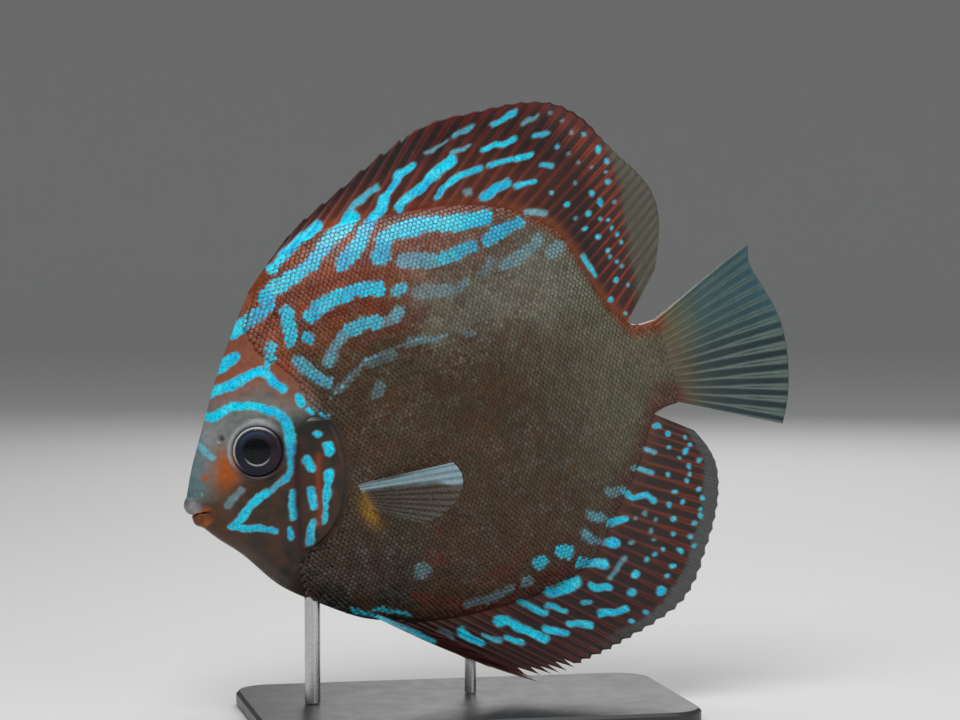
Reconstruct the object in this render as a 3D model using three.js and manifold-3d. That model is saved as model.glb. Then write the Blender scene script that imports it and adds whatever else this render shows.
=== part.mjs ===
// A discus fish, life size, swimming nose down on a plain display stand.
// Millimetres. The fish frame has x from the snout to the tail, z up the back and
// y across, with the left flank at -y. One group then tips the fish nose down.
import * as THREE from 'three';
import { mergeVertices } from 'three/addons/utils/BufferGeometryUtils.js';
import Module from 'manifold-3d';

const wasm = await Module();
wasm.setup();

// Pose on the stand
const NOSE_DOWN = THREE.MathUtils.degToRad(16.2);
const SNOUT_AHEAD = 75.3;
const SNOUT_HEIGHT = 54.5;
const GAP = 0.3;

// Body: half the width at stations from the snout to the tail, and how a section rounds off
const HALF_WIDTHS = [
  [-1, 1.6], [1, 2.4], [5, 4.7], [10, 6.6], [20, 9.1], [30, 10.8], [42, 12], [54, 12.4], [68, 12], [84, 10.3],
  [100, 7.6], [114, 4.8], [122, 3.4], [130, 2.4],
];
const SECTION_POWER = 2.1;
const BODY_CENTRE = new THREE.Vector2(64, 4);
const RING_FRACTIONS = [1, 0.985, 0.95, 0.89, 0.8, 0.67, 0.49, 0.26];

// Outline points are [x, z, half thickness of the rim, fullness, roundness of the rim].
// A low fullness swells quickly behind the rim.
const FOREHEAD = [
  [-0.5, 0.6, 1.6, 0.5, 1.2],
  [0.7, 3.2, 1.9, 0.5, 1.6],
  [4.1, 10, 1.9, 0.5, 1.7],
  [10.2, 20, 1.9, 0.5, 1.7],
  [16.4, 30, 1.9, 0.5, 1.7],
  [23.8, 40, 1.7, 0.52, 1.4],
];
const TAIL_TOP = [[125.5, 10.8, 1.3, 0.5, 0.6], [129.6, 10.8, 1.3, 0.5, 0]];
const TAIL_UNDER = [[129.6, -11.7, 1.3, 0.5, 0], [126.5, -11.9, 1.3, 0.5, 0.6]];
const BELLY = [
  [33.8, -40, 2, 0.5, 1.6],
  [25, -33.4, 2, 0.5, 1.7],
  [16.6, -25.9, 2, 0.5, 1.7],
  [10, -15.8, 2, 0.5, 1.7],
  [5, -9.8, 2.2, 0.5, 1.8],
  [1.6, -4.9, 2.2, 0.5, 1.8],
  [0, -1.6, 2, 0.5, 1.5],
];
const FIN_RIM = [1.2, 0.62, 0];

// Each fin is spread between a line of roots and its margin, listed front to back
const DORSAL_ROOTS = [
  [31, 48.2], [38, 53.2], [48, 57], [58, 58], [67, 57], [76, 56], [85, 54.8], [93, 52.6],
  [100, 49.4], [106, 45.3], [110, 41], [112.6, 35.5], [114.4, 30], [116, 24], [118.2, 18], [122, 12],
];
const DORSAL_MARGIN = [
  [34.5, 51.2], [46.3, 60], [60, 66.3], [75, 72.8], [88, 76], [100, 75.5], [110, 74.7], [119, 72],
  [125.5, 66.5], [129.5, 59.5], [133, 53.5], [136, 49], [138.2, 44], [138.8, 38.5], [137.3, 32], [133.5, 23.3],
];
const ANAL_ROOTS = [
  [41, -43], [46, -45], [52, -46.6], [58.5, -47.7], [66, -48.4], [74, -48.8], [82, -48.6], [89, -47.4],
  [95.5, -44.5], [100.5, -40], [104.5, -35.5], [109, -30.5], [113.5, -25.5], [117.3, -20], [120, -15.5],
  [122.5, -12.6],
];
const ANAL_MARGIN = [
  [60, -61], [69, -66.5], [76.9, -69], [82, -69.8], [87, -69], [94, -68.5], [101, -67.3], [109, -65.6],
  [116.5, -62.8], [122, -57.8], [126.5, -51], [130.6, -44.4], [133.6, -37.8], [135.1, -31], [134.3, -25.5],
  [131.9, -20],
];
const CAUDAL_ROOTS = [[129.6, 10.6], [129.6, 5], [129.6, -0.5], [129.6, -6.5], [129.6, -11.5]];
const CAUDAL_MARGIN = [
  [159.1, 22.6], [158.2, 17.8], [159.6, 12], [161.2, 6.2], [162, 0], [161.6, -7], [160.2, -14], [158.2, -20],
  [155.5, -25.5],
];

// Fins: ray counts, half thicknesses and how far the margin is nicked between rays
const DORSAL_FIN = { spines: 9, rays: 29, rows: 5, root: 1.05, edge: 0.26, ridge: 0.2, nick: 2.4, sway: 1.1 };
const ANAL_FIN = { spines: 9, rays: 27, rows: 5, root: 1.05, edge: 0.26, ridge: 0.2, nick: 4.6, sway: -1.1 };
const CAUDAL_FIN = { spines: 0, rays: 16, rows: 5, root: 1.9, edge: 0.26, ridge: 0.22, nick: 0.5, sway: 1.2 };
const SWAY_LENGTH = 62;
const SWAY_REACH = 24;
const SOFT_NICK = 0.35;
const ROOT_SUNK = 1;

// Paired fins: each point is [x, z, distance from the mid-plane]
const PELVIC_ROOTS = [[31.6, -34.5, 2.6], [34.6, -35.4, 3], [37.6, -36, 3.4]];
const PELVIC_MARGIN = [
  [73.8, -69.7, 5], [68, -64.6, 5.4], [61.4, -58, 6], [54.6, -51.8, 6.2], [48.2, -46.6, 6], [43.6, -42.8, 5.6],
];
const PELVIC_FIN = { spines: 0, rays: 7, rows: 8, root: 0.8, edge: 0.26, ridge: 0.2, nick: 1.2, sway: 0, bow: 2 };
const FAR_PELVIC_TUCK = 0.55;
const PECTORAL_ROOTS = [[38.6, -5.6, 9.4], [39.2, -7.6, 9.4], [40, -9.6, 9.4], [41, -11.4, 9.4]];
const PECTORAL_MARGIN = [
  [65, -6, 22], [66.2, -9.4, 22], [65.4, -13, 21.4], [62.8, -16.2, 20.2], [59, -18.4, 18.6], [54.4, -19.2, 16.8],
];
const PECTORAL_FIN = { spines: 0, rays: 11, rows: 4, root: 0.9, edge: 0.26, ridge: 0.16, nick: 0.4, sway: 0 };

// Head
const EYE = { x: 20.2, z: 9.6, radius: 6.2, proud: 1.7, depth: 2.6, pupil: 3.4 };
const ORBIT = { radius: 7.1, tube: 0.75 };
const NOSTRIL = { x: 12.6, z: 14.8, radius: 0.8, depth: 1.6 };
const MOUTH_GAPE = [[-3, -0.6], [0.6, -1.4], [5.2, -3.4], [5.3, -3.9], [2.4, -3.9], [-2, -3.2]];
const UPPER_LIP = [[5.2, -2.7, 5.1], [2.6, -1.3, 4.2], [0.4, -0.2, 2.4], [-0.2, 0.1, 0]];
const LOWER_LIP = [[5.2, -4.4, 4.9], [3.5, -4.7, 3.8], [1.7, -4.4, 2.2], [1, -4.2, 0]];
const LIP_RADIUS = 1.05;
const GILL_COVER = [
  [31.2, 11.5], [34, 13.4], [36.8, 13.2], [39.3, 10.8], [40.1, 5], [39.2, -2], [37.6, -7.2], [35, -11.8],
  [31.6, -15.2], [27.6, -17.5], [24.4, -17.6], [25.2, -13], [26.8, -4], [28.6, 3],
];
const COVER_PROUD = 0.45;
const COVER_THICKNESS = 1.5;

// Thin cuts that part the body, each a line seen from the side
const NECK_LINE = [
  [27, 55], [30.6, 46.8], [34.8, 30], [37.6, 15], [40.6, 11.6], [41.2, 5], [40.3, -2.2], [38.6, -7.6],
  [36, -12.6], [32.2, -16.6], [27.6, -19.2], [21, -22.2], [12, -29],
];
const TAIL_LINE = [[112, 45], [109.5, 20], [109, 0], [110, -20], [112, -38]];

// Stand
const BASE = { length: 112, depth: 66, height: 4, corner: 9, bevel: 0.8, x: -4 };
const FRONT_ROD = { x: -43.5, y: 0, radius: 2, sides: 20 };
const REAR_ROD = { x: -1, y: 7.4, radius: 1.5, sides: 16 };

// Colours
const SKIN = { color: 0x8d6a4a, roughness: 0.38, metalness: 0 };
const FIN_SKIN = { color: 0x74262a, roughness: 0.42, metalness: 0 };
const CLEAR_FIN = { color: 0x8f9b86, roughness: 0.35, metalness: 0 };
const EYE_LOOK = { color: 0x0c1017, roughness: 0.08, metalness: 0 };
const BASE_LOOK = { color: 0x23211f, roughness: 0.45, metalness: 0 };
const ROD_LOOK = { color: 0xb8bcc0, roughness: 0.28, metalness: 1 };

// Helpers for smooth lines

// The point of a smooth line through the points, with the share 0 to 1 along them.
function along(points, share) {
  const place = share * (points.length - 1);
  const index = Math.min(Math.floor(place), points.length - 2);
  const t = place - index;
  const before = points[Math.max(index - 1, 0)];
  const start = points[index];
  const end = points[index + 1];
  const after = points[Math.min(index + 2, points.length - 1)];
  return start.map((value, k) => {
    const leaving = (end[k] - before[k]) / 2;
    const arriving = (after[k] - value) / 2;
    const cubic = 2 * value - 2 * end[k] + leaving + arriving;
    const square = -3 * value + 3 * end[k] - 2 * leaving - arriving;
    return ((cubic * t + square) * t + leaving) * t + value;
  });
}

function sampled(points, steps) {
  return Array.from({ length: steps }, (_, i) => along(points, i / steps));
}

// The row of a list at a place on its first column, drawn smoothly between its rows
function atStation(rows, x) {
  const last = rows.length - 1;
  const index = Math.max(rows.findLastIndex((row) => row[0] <= x), 0);
  if (index >= last) return rows[last];
  const share = THREE.MathUtils.clamp((x - rows[index][0]) / (rows[index + 1][0] - rows[index][0]), 0, 1);
  return along(rows, (index + share) / last);
}

// The outline of the body: over the back to the tail, and under the belly to the tail
const BACK_LINE = [
  ...sampled([...FOREHEAD, ...DORSAL_ROOTS.map((point) => [...point, ...FIN_RIM])], 48),
  ...sampled([[...DORSAL_ROOTS.at(-1), ...FIN_RIM], ...TAIL_TOP], 4),
  TAIL_TOP[1],
];
const UNDER_LINE = [
  ...sampled([...BELLY.toReversed(), ...ANAL_ROOTS.map((point) => [...point, ...FIN_RIM])], 48),
  ...sampled([[...ANAL_ROOTS.at(-1), ...FIN_RIM], ...TAIL_UNDER.toReversed()], 4),
  TAIL_UNDER[0],
];
const OUTLINE = [...BACK_LINE, ...sampled([TAIL_TOP[1], TAIL_UNDER[0]], 4).slice(1), ...UNDER_LINE.toReversed()];

// The flank's distance from the mid-plane at any x and z
function flankAt(x, z) {
  const top = atStation(BACK_LINE, x);
  const bottom = atStation(UNDER_LINE, x);
  const middle = (top[1] + bottom[1]) / 2;
  const [, , rim, fullness] = z > middle ? top : bottom;
  const offset = Math.min(Math.abs(z - middle) / Math.max((top[1] - bottom[1]) / 2, 0.1), 1);
  const width = Math.max(atStation(HALF_WIDTHS, x)[1], rim);
  return rim + (width - rim) * (1 - offset ** SECTION_POWER) ** fullness;
}

// Helpers for solids

function geometryFrom(positions, indices) {
  const geometry = new THREE.BufferGeometry();
  geometry.setAttribute('position', new THREE.Float32BufferAttribute(positions, 3));
  geometry.setIndex(indices);
  return geometry;
}

function toSolid(geometry) {
  const bare = geometry.clone();
  bare.deleteAttribute('normal');
  bare.deleteAttribute('uv');
  const merged = outward(mergeVertices(bare, 1e-4));
  return new wasm.Manifold(new wasm.Mesh({
    numProp: 3,
    vertProperties: new Float32Array(merged.attributes.position.array),
    triVerts: new Uint32Array(merged.index.array),
  }));
}

function fromSolid(solid) {
  const mesh = largest(solid).getMesh();
  return geometryFrom(Array.from(mesh.vertProperties), Array.from(mesh.triVerts));
}

function largest(solid) {
  return solid.decompose().reduce((a, b) => (a.volume() > b.volume() ? a : b));
}

// A point of the body: a share of the way from its centre to a point of its outline.
// The rim is rounded off by its own roundness, and extra grows the body all round.
function bodyPoint(point, fraction, side, extra) {
  const [x, z, rim, , roundness] = point;
  const outward = new THREE.Vector2(x, z).sub(BODY_CENTRE);
  const inset = side === 0 ? 0 : roundness;
  const inside = outward.clone().setLength((outward.length() - inset) * fraction).add(BODY_CENTRE);
  const grown = outward.clone().setLength((outward.length() - inset + extra) * fraction).add(BODY_CENTRE);
  const thickness = fraction === 1 ? rim : flankAt(inside.x, inside.y);
  return [grown.x, side * (thickness + extra), grown.y];
}

// The whole body as rings that shrink from the rim to the middle of each flank
function bodySolid(extra = 0) {
  const count = OUTLINE.length;
  const flanks = [-1, 1].flatMap((side) => [
    ...RING_FRACTIONS.flatMap((fraction) => OUTLINE.map((point) => bodyPoint(point, fraction, side, extra))),
    bodyPoint(OUTLINE[0], 0, side, extra),
  ]);
  const rim = OUTLINE.map((point) => bodyPoint(point, 1, 0, extra));
  const indices = [];
  for (const side of [0, 1]) {
    const first = count + side * (RING_FRACTIONS.length * count + 1);
    const addTriangle = (a, b, c) => indices.push(...(side ? [a, c, b] : [a, b, c]));
    const ringStarts = [0, ...RING_FRACTIONS.map((_, ring) => first + ring * count)];
    const middle = first + RING_FRACTIONS.length * count;
    for (let i = 0; i < count; i += 1) {
      const j = (i + 1) % count;
      for (let ring = 0; ring < ringStarts.length - 1; ring += 1) {
        const [outer, inner] = [ringStarts[ring], ringStarts[ring + 1]];
        addTriangle(outer + i, outer + j, inner + j);
        addTriangle(outer + i, inner + j, inner + i);
      }
      addTriangle(ringStarts.at(-1) + i, ringStarts.at(-1) + j, middle);
    }
  }
  return toSolid(geometryFrom([...rim, ...flanks].flat(), indices));
}

// A shape seen from the side, carried through the fish from one y to another
function sidePrism(points, fromY, toY) {
  const shape = new THREE.Shape(points.map(([x, z]) => new THREE.Vector2(x, z)));
  const geometry = new THREE.ExtrudeGeometry(shape, { depth: toY - fromY, bevelEnabled: false });
  geometry.rotateX(Math.PI / 2);
  geometry.translate(0, toY, 0);
  return toSolid(geometry);
}

// A closed outline, smoothed and moved outwards by a margin
function grownOutline(points, margin) {
  const ring = sampled([...points, points[0]], points.length * 2);
  return ring.map(([x, z], i) => {
    const [before, after] = [ring.at(i - 1), ring[(i + 1) % ring.length]];
    const normal = new THREE.Vector2(-(after[1] - before[1]), after[0] - before[0]).setLength(margin);
    return [x + normal.x, z + normal.y];
  });
}

// The part of space ahead of a line seen from the side, the line listed from the top down
function spaceAhead(line, shift) {
  const edge = [...sampled(line, line.length * 2), line.at(-1)].map(([x, z]) => [x + shift, z]);
  const far = 100;
  const around = [[edge.at(-1)[0], -far], [-far, -far], [-far, far], [edge[0][0], far]];
  return sidePrism([...edge, ...around], -far, far);
}

// A closed tube of round sections that narrows to both ends
function taperedTube(points, radius, steps, sides) {
  const rings = [];
  for (let i = 0; i <= steps; i += 1) {
    const share = i / steps;
    const [x, z, y] = along(points, share);
    const ahead = along(points, Math.min(share + 0.01, 1));
    const behind = along(points, Math.max(share - 0.01, 0));
    const direction = new THREE.Vector3(ahead[0] - behind[0], ahead[2] - behind[2], ahead[1] - behind[1]);
    const across = new THREE.Vector3(0, 0, 1).cross(direction).normalize();
    const upward = direction.clone().cross(across).normalize();
    const size = radius * (0.45 + 0.55 * Math.sin(Math.PI * share) ** 0.5);
    rings.push(Array.from({ length: sides }, (_, k) => {
      const angle = (k / sides) * Math.PI * 2;
      return new THREE.Vector3(x, y, z)
        .addScaledVector(across, Math.cos(angle) * size)
        .addScaledVector(upward, Math.sin(angle) * size);
    }));
  }
  return loft(rings);
}

function loft(rings) {
  const sides = rings[0].length;
  const positions = rings.flat().flatMap((point) => point.toArray());
  const indices = [];
  for (let ring = 0; ring < rings.length - 1; ring += 1) {
    for (let k = 0; k < sides; k += 1) {
      const next = (k + 1) % sides;
      const [low, high] = [ring * sides, (ring + 1) * sides];
      indices.push(low + k, low + next, high + next, low + k, high + next, high + k);
    }
  }
  const addCap = (ring, flip) => {
    const middle = rings[ring].reduce((sum, point) => sum.add(point), new THREE.Vector3());
    positions.push(...middle.divideScalar(sides).toArray());
    const hub = positions.length / 3 - 1;
    for (let k = 0; k < sides; k += 1) {
      const [a, b] = [ring * sides + k, ring * sides + ((k + 1) % sides)];
      indices.push(...(flip ? [hub, b, a] : [hub, a, b]));
    }
  };
  addCap(0, true);
  addCap(rings.length - 1, false);
  return toSolid(geometryFrom(positions, indices));
}

// Fins

// Columns run from root to margin: one on each ray, and one in each groove between two
function finColumns(roots, margin, fin) {
  const rays = fin.spines + fin.rays;
  const columns = [];
  for (let i = 0; i <= 2 * (rays - 1); i += 1) {
    const share = i / (2 * (rays - 1));
    const onRay = i % 2 === 0;
    const root = along(roots, share);
    const tip = along(margin, share);
    const nick = i / 2 < fin.spines ? fin.nick : fin.nick * SOFT_NICK * (1 - share);
    const length = Math.hypot(tip[0] - root[0], tip[1] - root[1]);
    const reach = onRay ? 1 : 1 - Math.min(nick, length * 0.3) / length;
    columns.push({ root, tip, reach, onRay });
  }
  return columns;
}

function finSway(fin, x, height) {
  return fin.sway * Math.sin((x / SWAY_LENGTH) * Math.PI * 2) * (height / SWAY_REACH) ** 2;
}

// One thin closed blade, with both faces split into the same triangles. A body that the
// blade's roots are sunk in is cut away from it later, with the gap.
function finSolid(roots, margin, fin, start = 0) {
  const columns = finColumns(roots, margin, fin);
  const positions = [];
  const indices = [];
  const perColumn = fin.rows + 1;
  for (const side of [-1, 1]) {
    for (const { root, tip, reach, onRay } of columns) {
      const length = Math.hypot(tip[0] - root[0], tip[1] - root[1]);
      for (let row = 0; row <= fin.rows; row += 1) {
        const share = THREE.MathUtils.lerp(start / length, reach, row / fin.rows);
        const [x, straightZ, y = 0] = root.map((value, k) => THREE.MathUtils.lerp(value, tip[k], share));
        const z = straightZ - (fin.bow ?? 0) * 4 * share * (1 - share);
        const taper = 1 - row / fin.rows;
        const membrane = fin.edge + (fin.root - fin.edge) * taper ** 2;
        const ridge = onRay ? fin.ridge * (0.35 + 0.65 * taper) : 0;
        positions.push(x, y + finSway(fin, x, length * share) + side * (membrane + ridge), z);
      }
    }
  }
  const half = columns.length * perColumn;
  const addQuad = (a, b, c, d) => indices.push(a, b, c, a, c, d);
  for (let column = 0; column < columns.length - 1; column += 1) {
    const here = column * perColumn;
    const next = here + perColumn;
    for (let row = 0; row < fin.rows; row += 1) {
      addQuad(here + row, next + row, next + row + 1, here + row + 1);
      indices.push(half + here + row, half + next + row + 1, half + next + row);
      indices.push(half + here + row, half + here + row + 1, half + next + row + 1);
    }
    addQuad(next, here, half + here, half + next);
    addQuad(here + fin.rows, next + fin.rows, half + next + fin.rows, half + here + fin.rows);
  }
  const last = (columns.length - 1) * perColumn;
  for (let row = 0; row < fin.rows; row += 1) {
    addQuad(row, row + 1, half + row + 1, half + row);
    addQuad(last + row + 1, last + row, half + last + row, half + last + row + 1);
  }
  return toSolid(geometryFrom(positions, indices));
}

// Turns a closed mesh right side out
function outward(geometry) {
  const { array } = geometry.attributes.position;
  const order = geometry.index.array;
  const corner = (i) => new THREE.Vector3().fromArray(array, order[i] * 3);
  let volume = 0;
  for (let i = 0; i < order.length; i += 3) {
    volume += corner(i).dot(corner(i + 1).cross(corner(i + 2)));
  }
  if (volume < 0) {
    for (let i = 0; i < order.length; i += 3) {
      [order[i + 1], order[i + 2]] = [order[i + 2], order[i + 1]];
    }
  }
  return geometry;
}

function pairedFin(roots, margin, fin, side, tuck = 1) {
  const place = ([x, z, y]) => [x, z, side * y * tuck];
  return finSolid(roots.map(place), margin.map(place), fin);
}

// Head details

function surfaceFrame(x, z, side) {
  const step = 0.5;
  const slopeX = (flankAt(x + step, z) - flankAt(x - step, z)) / (2 * step);
  const slopeZ = (flankAt(x, z + step) - flankAt(x, z - step)) / (2 * step);
  const normal = new THREE.Vector3(-slopeX, side, -slopeZ).normalize();
  return {
    origin: new THREE.Vector3(x, side * flankAt(x, z), z),
    turn: new THREE.Quaternion().setFromUnitVectors(new THREE.Vector3(0, 1, 0), normal),
  };
}

function onFlank(geometry, x, z, side, lift = 0) {
  const { origin, turn } = surfaceFrame(x, z, side);
  geometry.translate(0, lift, 0);
  geometry.applyQuaternion(turn);
  geometry.translate(origin.x, origin.y, origin.z);
  return geometry;
}

function eyeGeometry(side) {
  const profile = [new THREE.Vector2(0, -EYE.depth), new THREE.Vector2(EYE.radius, -EYE.depth)];
  const rise = 5;
  for (let i = 0; i < rise; i += 1) {
    const angle = (i / rise) * (Math.PI / 2);
    profile.push(new THREE.Vector2(EYE.radius * Math.cos(angle), EYE.proud * Math.sin(angle)));
  }
  profile.push(new THREE.Vector2(0, EYE.proud));
  return fromSolid(toSolid(onFlank(new THREE.LatheGeometry(profile, 24), EYE.x, EYE.z, side)));
}

function eyeSocket(side) {
  const reach = 8;
  const bore = new THREE.CylinderGeometry(EYE.radius + GAP, EYE.radius + GAP, reach, 24);
  return toSolid(onFlank(bore, EYE.x, EYE.z, side, reach / 2 - EYE.depth - GAP));
}

function orbitRim(side) {
  const ring = new THREE.TorusGeometry(ORBIT.radius, ORBIT.tube, 6, 24);
  ring.rotateX(Math.PI / 2);
  return toSolid(onFlank(ring, EYE.x, EYE.z, side));
}

function nostril(side) {
  const pit = new THREE.CylinderGeometry(NOSTRIL.radius, NOSTRIL.radius * 0.7, NOSTRIL.depth * 2, 10);
  return toSolid(onFlank(pit, NOSTRIL.x, NOSTRIL.z, side));
}

function lip(points) {
  const mirrored = points.slice(0, -1).map(([x, z, y]) => [x, z, -y]);
  return taperedTube([...points, ...mirrored.reverse()], LIP_RADIUS, 14, 8);
}

// Named parts

const fish = new THREE.Group();
fish.rotation.y = -NOSE_DOWN;
fish.position.set(-SNOUT_AHEAD, 0, SNOUT_HEIGHT);
const stand = new THREE.Group();

function addPart(parent, name, geometry, look) {
  geometry.computeVertexNormals();
  const mesh = new THREE.Mesh(geometry, new THREE.MeshStandardMaterial(look));
  mesh.name = name;
  parent.add(mesh);
}

const body = bodySolid();
const grownBody = bodySolid(GAP);
const SIDES = [['left', -1], ['right', 1]];

function coverPrism(margin, side) {
  const points = grownOutline(GILL_COVER, margin);
  return side < 0 ? sidePrism(points, -40, 0) : sidePrism(points, 0, 40);
}

function buildHead() {
  let head = body.intersect(spaceAhead(NECK_LINE, -GAP / 2));
  head = head.add(lip(UPPER_LIP)).add(lip(LOWER_LIP));
  head = head.subtract(sidePrism(MOUTH_GAPE, -7, 7));
  const bed = bodySolid(-COVER_THICKNESS);
  for (const [, side] of SIDES) {
    head = head.add(orbitRim(side)).subtract(eyeSocket(side)).subtract(nostril(side));
    head = head.subtract(coverPrism(GAP, side).subtract(bed));
  }
  addPart(fish, 'head', fromSolid(head), SKIN);
}

function buildGillCovers() {
  const outer = bodySolid(COVER_PROUD);
  const inner = bodySolid(GAP - COVER_THICKNESS);
  for (const [name, side] of SIDES) {
    const cover = coverPrism(0, side).intersect(outer).subtract(inner);
    addPart(fish, `gill_cover_${name}`, fromSolid(cover), SKIN);
  }
}

function buildTrunk() {
  const behindHead = body.subtract(spaceAhead(NECK_LINE, GAP / 2));
  const torso = behindHead.intersect(spaceAhead(TAIL_LINE, -GAP / 2));
  const stalk = behindHead.subtract(spaceAhead(TAIL_LINE, GAP / 2));
  addPart(fish, 'torso', fromSolid(torso), SKIN);
  addPart(fish, 'tail_stalk', fromSolid(stalk), SKIN);
}

function buildMedianFins() {
  const fins = [
    ['dorsal_fin', DORSAL_ROOTS, DORSAL_MARGIN, DORSAL_FIN, FIN_SKIN],
    ['anal_fin', ANAL_ROOTS, ANAL_MARGIN, ANAL_FIN, FIN_SKIN],
    ['caudal_fin', CAUDAL_ROOTS, CAUDAL_MARGIN, CAUDAL_FIN, CLEAR_FIN],
  ];
  for (const [name, roots, margin, fin, look] of fins) {
    const blade = finSolid(roots, margin, fin, -ROOT_SUNK);
    addPart(fish, name, fromSolid(blade.subtract(grownBody)), look);
  }
}

function buildPairedFins() {
  for (const [name, side] of SIDES) {
    const tuck = side > 0 ? FAR_PELVIC_TUCK : 1;
    const pelvic = pairedFin(PELVIC_ROOTS, PELVIC_MARGIN, PELVIC_FIN, side, tuck);
    addPart(fish, `pelvic_fin_${name}`, fromSolid(pelvic.subtract(grownBody)), FIN_SKIN);
    const pectoral = pairedFin(PECTORAL_ROOTS, PECTORAL_MARGIN, PECTORAL_FIN, side);
    addPart(fish, `pectoral_fin_${name}`, fromSolid(pectoral.subtract(grownBody)), CLEAR_FIN);
  }
}

function buildEyes() {
  for (const [name, side] of SIDES) {
    addPart(fish, `eye_${name}`, eyeGeometry(side), EYE_LOOK);
  }
}

function baseShape() {
  const { length, depth, corner } = BASE;
  const shape = new THREE.Shape();
  const [halfLength, halfDepth] = [length / 2 - corner - BASE.bevel, depth / 2 - corner - BASE.bevel];
  const corners = [[1, -1, -90], [1, 1, 0], [-1, 1, 90], [-1, -1, 180]];
  for (const [alongX, alongY, start] of corners) {
    const from = THREE.MathUtils.degToRad(start);
    shape.absarc(alongX * halfLength, alongY * halfDepth, corner, from, from + Math.PI / 2, false);
  }
  return shape;
}

function buildStand() {
  const { height, bevel } = BASE;
  const plate = new THREE.ExtrudeGeometry(baseShape(), {
    depth: height - 2 * bevel,
    bevelThickness: bevel,
    bevelSize: bevel,
    bevelSegments: 1,
    curveSegments: 5,
  });
  plate.translate(BASE.x, 0, bevel);
  addPart(stand, 'stand_base', fromSolid(toSolid(plate)), BASE_LOOK);
  fish.updateMatrixWorld(true);
  const pose = fish.matrixWorld.elements;
  const reach = SNOUT_HEIGHT + 60;
  const posedBody = grownBody.transform(Array.from(pose));
  for (const [name, rod] of [['front', FRONT_ROD], ['rear', REAR_ROD]]) {
    const bar = new THREE.CylinderGeometry(rod.radius, rod.radius, reach, rod.sides);
    bar.rotateX(Math.PI / 2);
    bar.translate(rod.x, rod.y, height + GAP + reach / 2);
    const pieces = toSolid(bar).subtract(posedBody).decompose();
    const lowest = pieces.reduce((a, b) => (a.boundingBox().min[2] < b.boundingBox().min[2] ? a : b));
    addPart(stand, `stand_rod_${name}`, fromSolid(lowest), ROD_LOOK);
  }
}

buildHead();
buildGillCovers();
buildTrunk();
buildMedianFins();
buildPairedFins();
buildEyes();
buildStand();

// The stand's base rests on the floor, and the whole is centred over the origin
const model = new THREE.Group();
model.add(fish, stand);
const box = new THREE.Box3().setFromObject(model, true);
model.position.set(-(box.min.x + box.max.x) / 2, -(box.min.y + box.max.y) / 2, -box.min.z);

const group = new THREE.Group();
group.add(model);
export default group;
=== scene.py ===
"""A discus fish on a plain display stand: the looks of every surface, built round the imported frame.

The fish is modelled in its own frame in millimetres: x from the snout to the tail, z up the back
and y across, with the left flank at -y. to_row() tips it nose down and puts it in the row frame.
"""
import math
from types import SimpleNamespace

import bmesh
import bpy
import mathutils
import numpy as np
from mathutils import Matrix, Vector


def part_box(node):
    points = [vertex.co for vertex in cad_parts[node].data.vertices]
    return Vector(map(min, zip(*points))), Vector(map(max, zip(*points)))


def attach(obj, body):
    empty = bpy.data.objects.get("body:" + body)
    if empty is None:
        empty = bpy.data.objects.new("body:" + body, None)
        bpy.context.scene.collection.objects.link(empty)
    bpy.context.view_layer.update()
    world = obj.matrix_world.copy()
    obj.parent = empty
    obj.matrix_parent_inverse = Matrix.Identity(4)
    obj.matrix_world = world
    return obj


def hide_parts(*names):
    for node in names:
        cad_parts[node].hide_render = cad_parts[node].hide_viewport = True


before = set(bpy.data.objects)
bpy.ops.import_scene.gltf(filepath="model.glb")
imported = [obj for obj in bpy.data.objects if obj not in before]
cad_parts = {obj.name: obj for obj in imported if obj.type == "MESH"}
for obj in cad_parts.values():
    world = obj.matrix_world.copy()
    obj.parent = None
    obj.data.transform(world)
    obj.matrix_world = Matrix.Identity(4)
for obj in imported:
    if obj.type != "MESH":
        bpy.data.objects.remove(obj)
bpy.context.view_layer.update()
random = np.random.default_rng(11)

# Pose and place, as in the CAD model
MM = 0.001
NOSE_DOWN = math.radians(16.2)
BASE_AT = -4
SHIFT = sum(corner[0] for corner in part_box("stand_base")) / 2 / MM - BASE_AT
SNOUT = np.array([-75.3 + SHIFT, 0, 54.5])

# Camera: a long lens, swung towards the nose and a little above level
CAMERA_YAW = math.radians(12)
CAMERA_ELEVATION = math.radians(3)
CAMERA_DISTANCE = 750
CAMERA_TARGET = np.array([SHIFT, 0, 91])
LENS = 109.95

# Body: half widths as (x, half width)
HALF_WIDTHS = np.array([
    [-1, 1.6], [1, 2.4], [5, 4.7], [10, 6.6], [20, 9.1], [30, 10.8], [42, 12], [54, 12.4], [68, 12],
    [84, 10.3], [100, 7.6], [114, 4.8], [122, 3.4], [130, 2.4],
])
SECTION_POWER = 2.1
BODY_CENTRE = np.array([64.0, 4.0])
# Outline points as (x, z, half width at the rim, fullness of the section, roundness of the rim)
FOREHEAD = [
    [-0.5, 0.6, 1.6, 0.5, 1.2],
    [0.7, 3.2, 1.9, 0.5, 1.6],
    [4.1, 10, 1.9, 0.5, 1.7],
    [10.2, 20, 1.9, 0.5, 1.7],
    [16.4, 30, 1.9, 0.5, 1.7],
    [23.8, 40, 1.7, 0.52, 1.4],
]
TAIL_TOP = [[125.5, 10.8, 1.3, 0.5, 0.6], [129.6, 10.8, 1.3, 0.5, 0]]
TAIL_UNDER = [[129.6, -11.7, 1.3, 0.5, 0], [126.5, -11.9, 1.3, 0.5, 0.6]]
BELLY = [
    [33.8, -40, 2, 0.5, 1.6],
    [25, -33.4, 2, 0.5, 1.7],
    [16.6, -25.9, 2, 0.5, 1.7],
    [10, -15.8, 2, 0.5, 1.7],
    [5, -9.8, 2.2, 0.5, 1.8],
    [1.6, -4.9, 2.2, 0.5, 1.8],
    [0, -1.6, 2, 0.5, 1.5],
]
FIN_RIM = [1.2, 0.62, 0]
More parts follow.
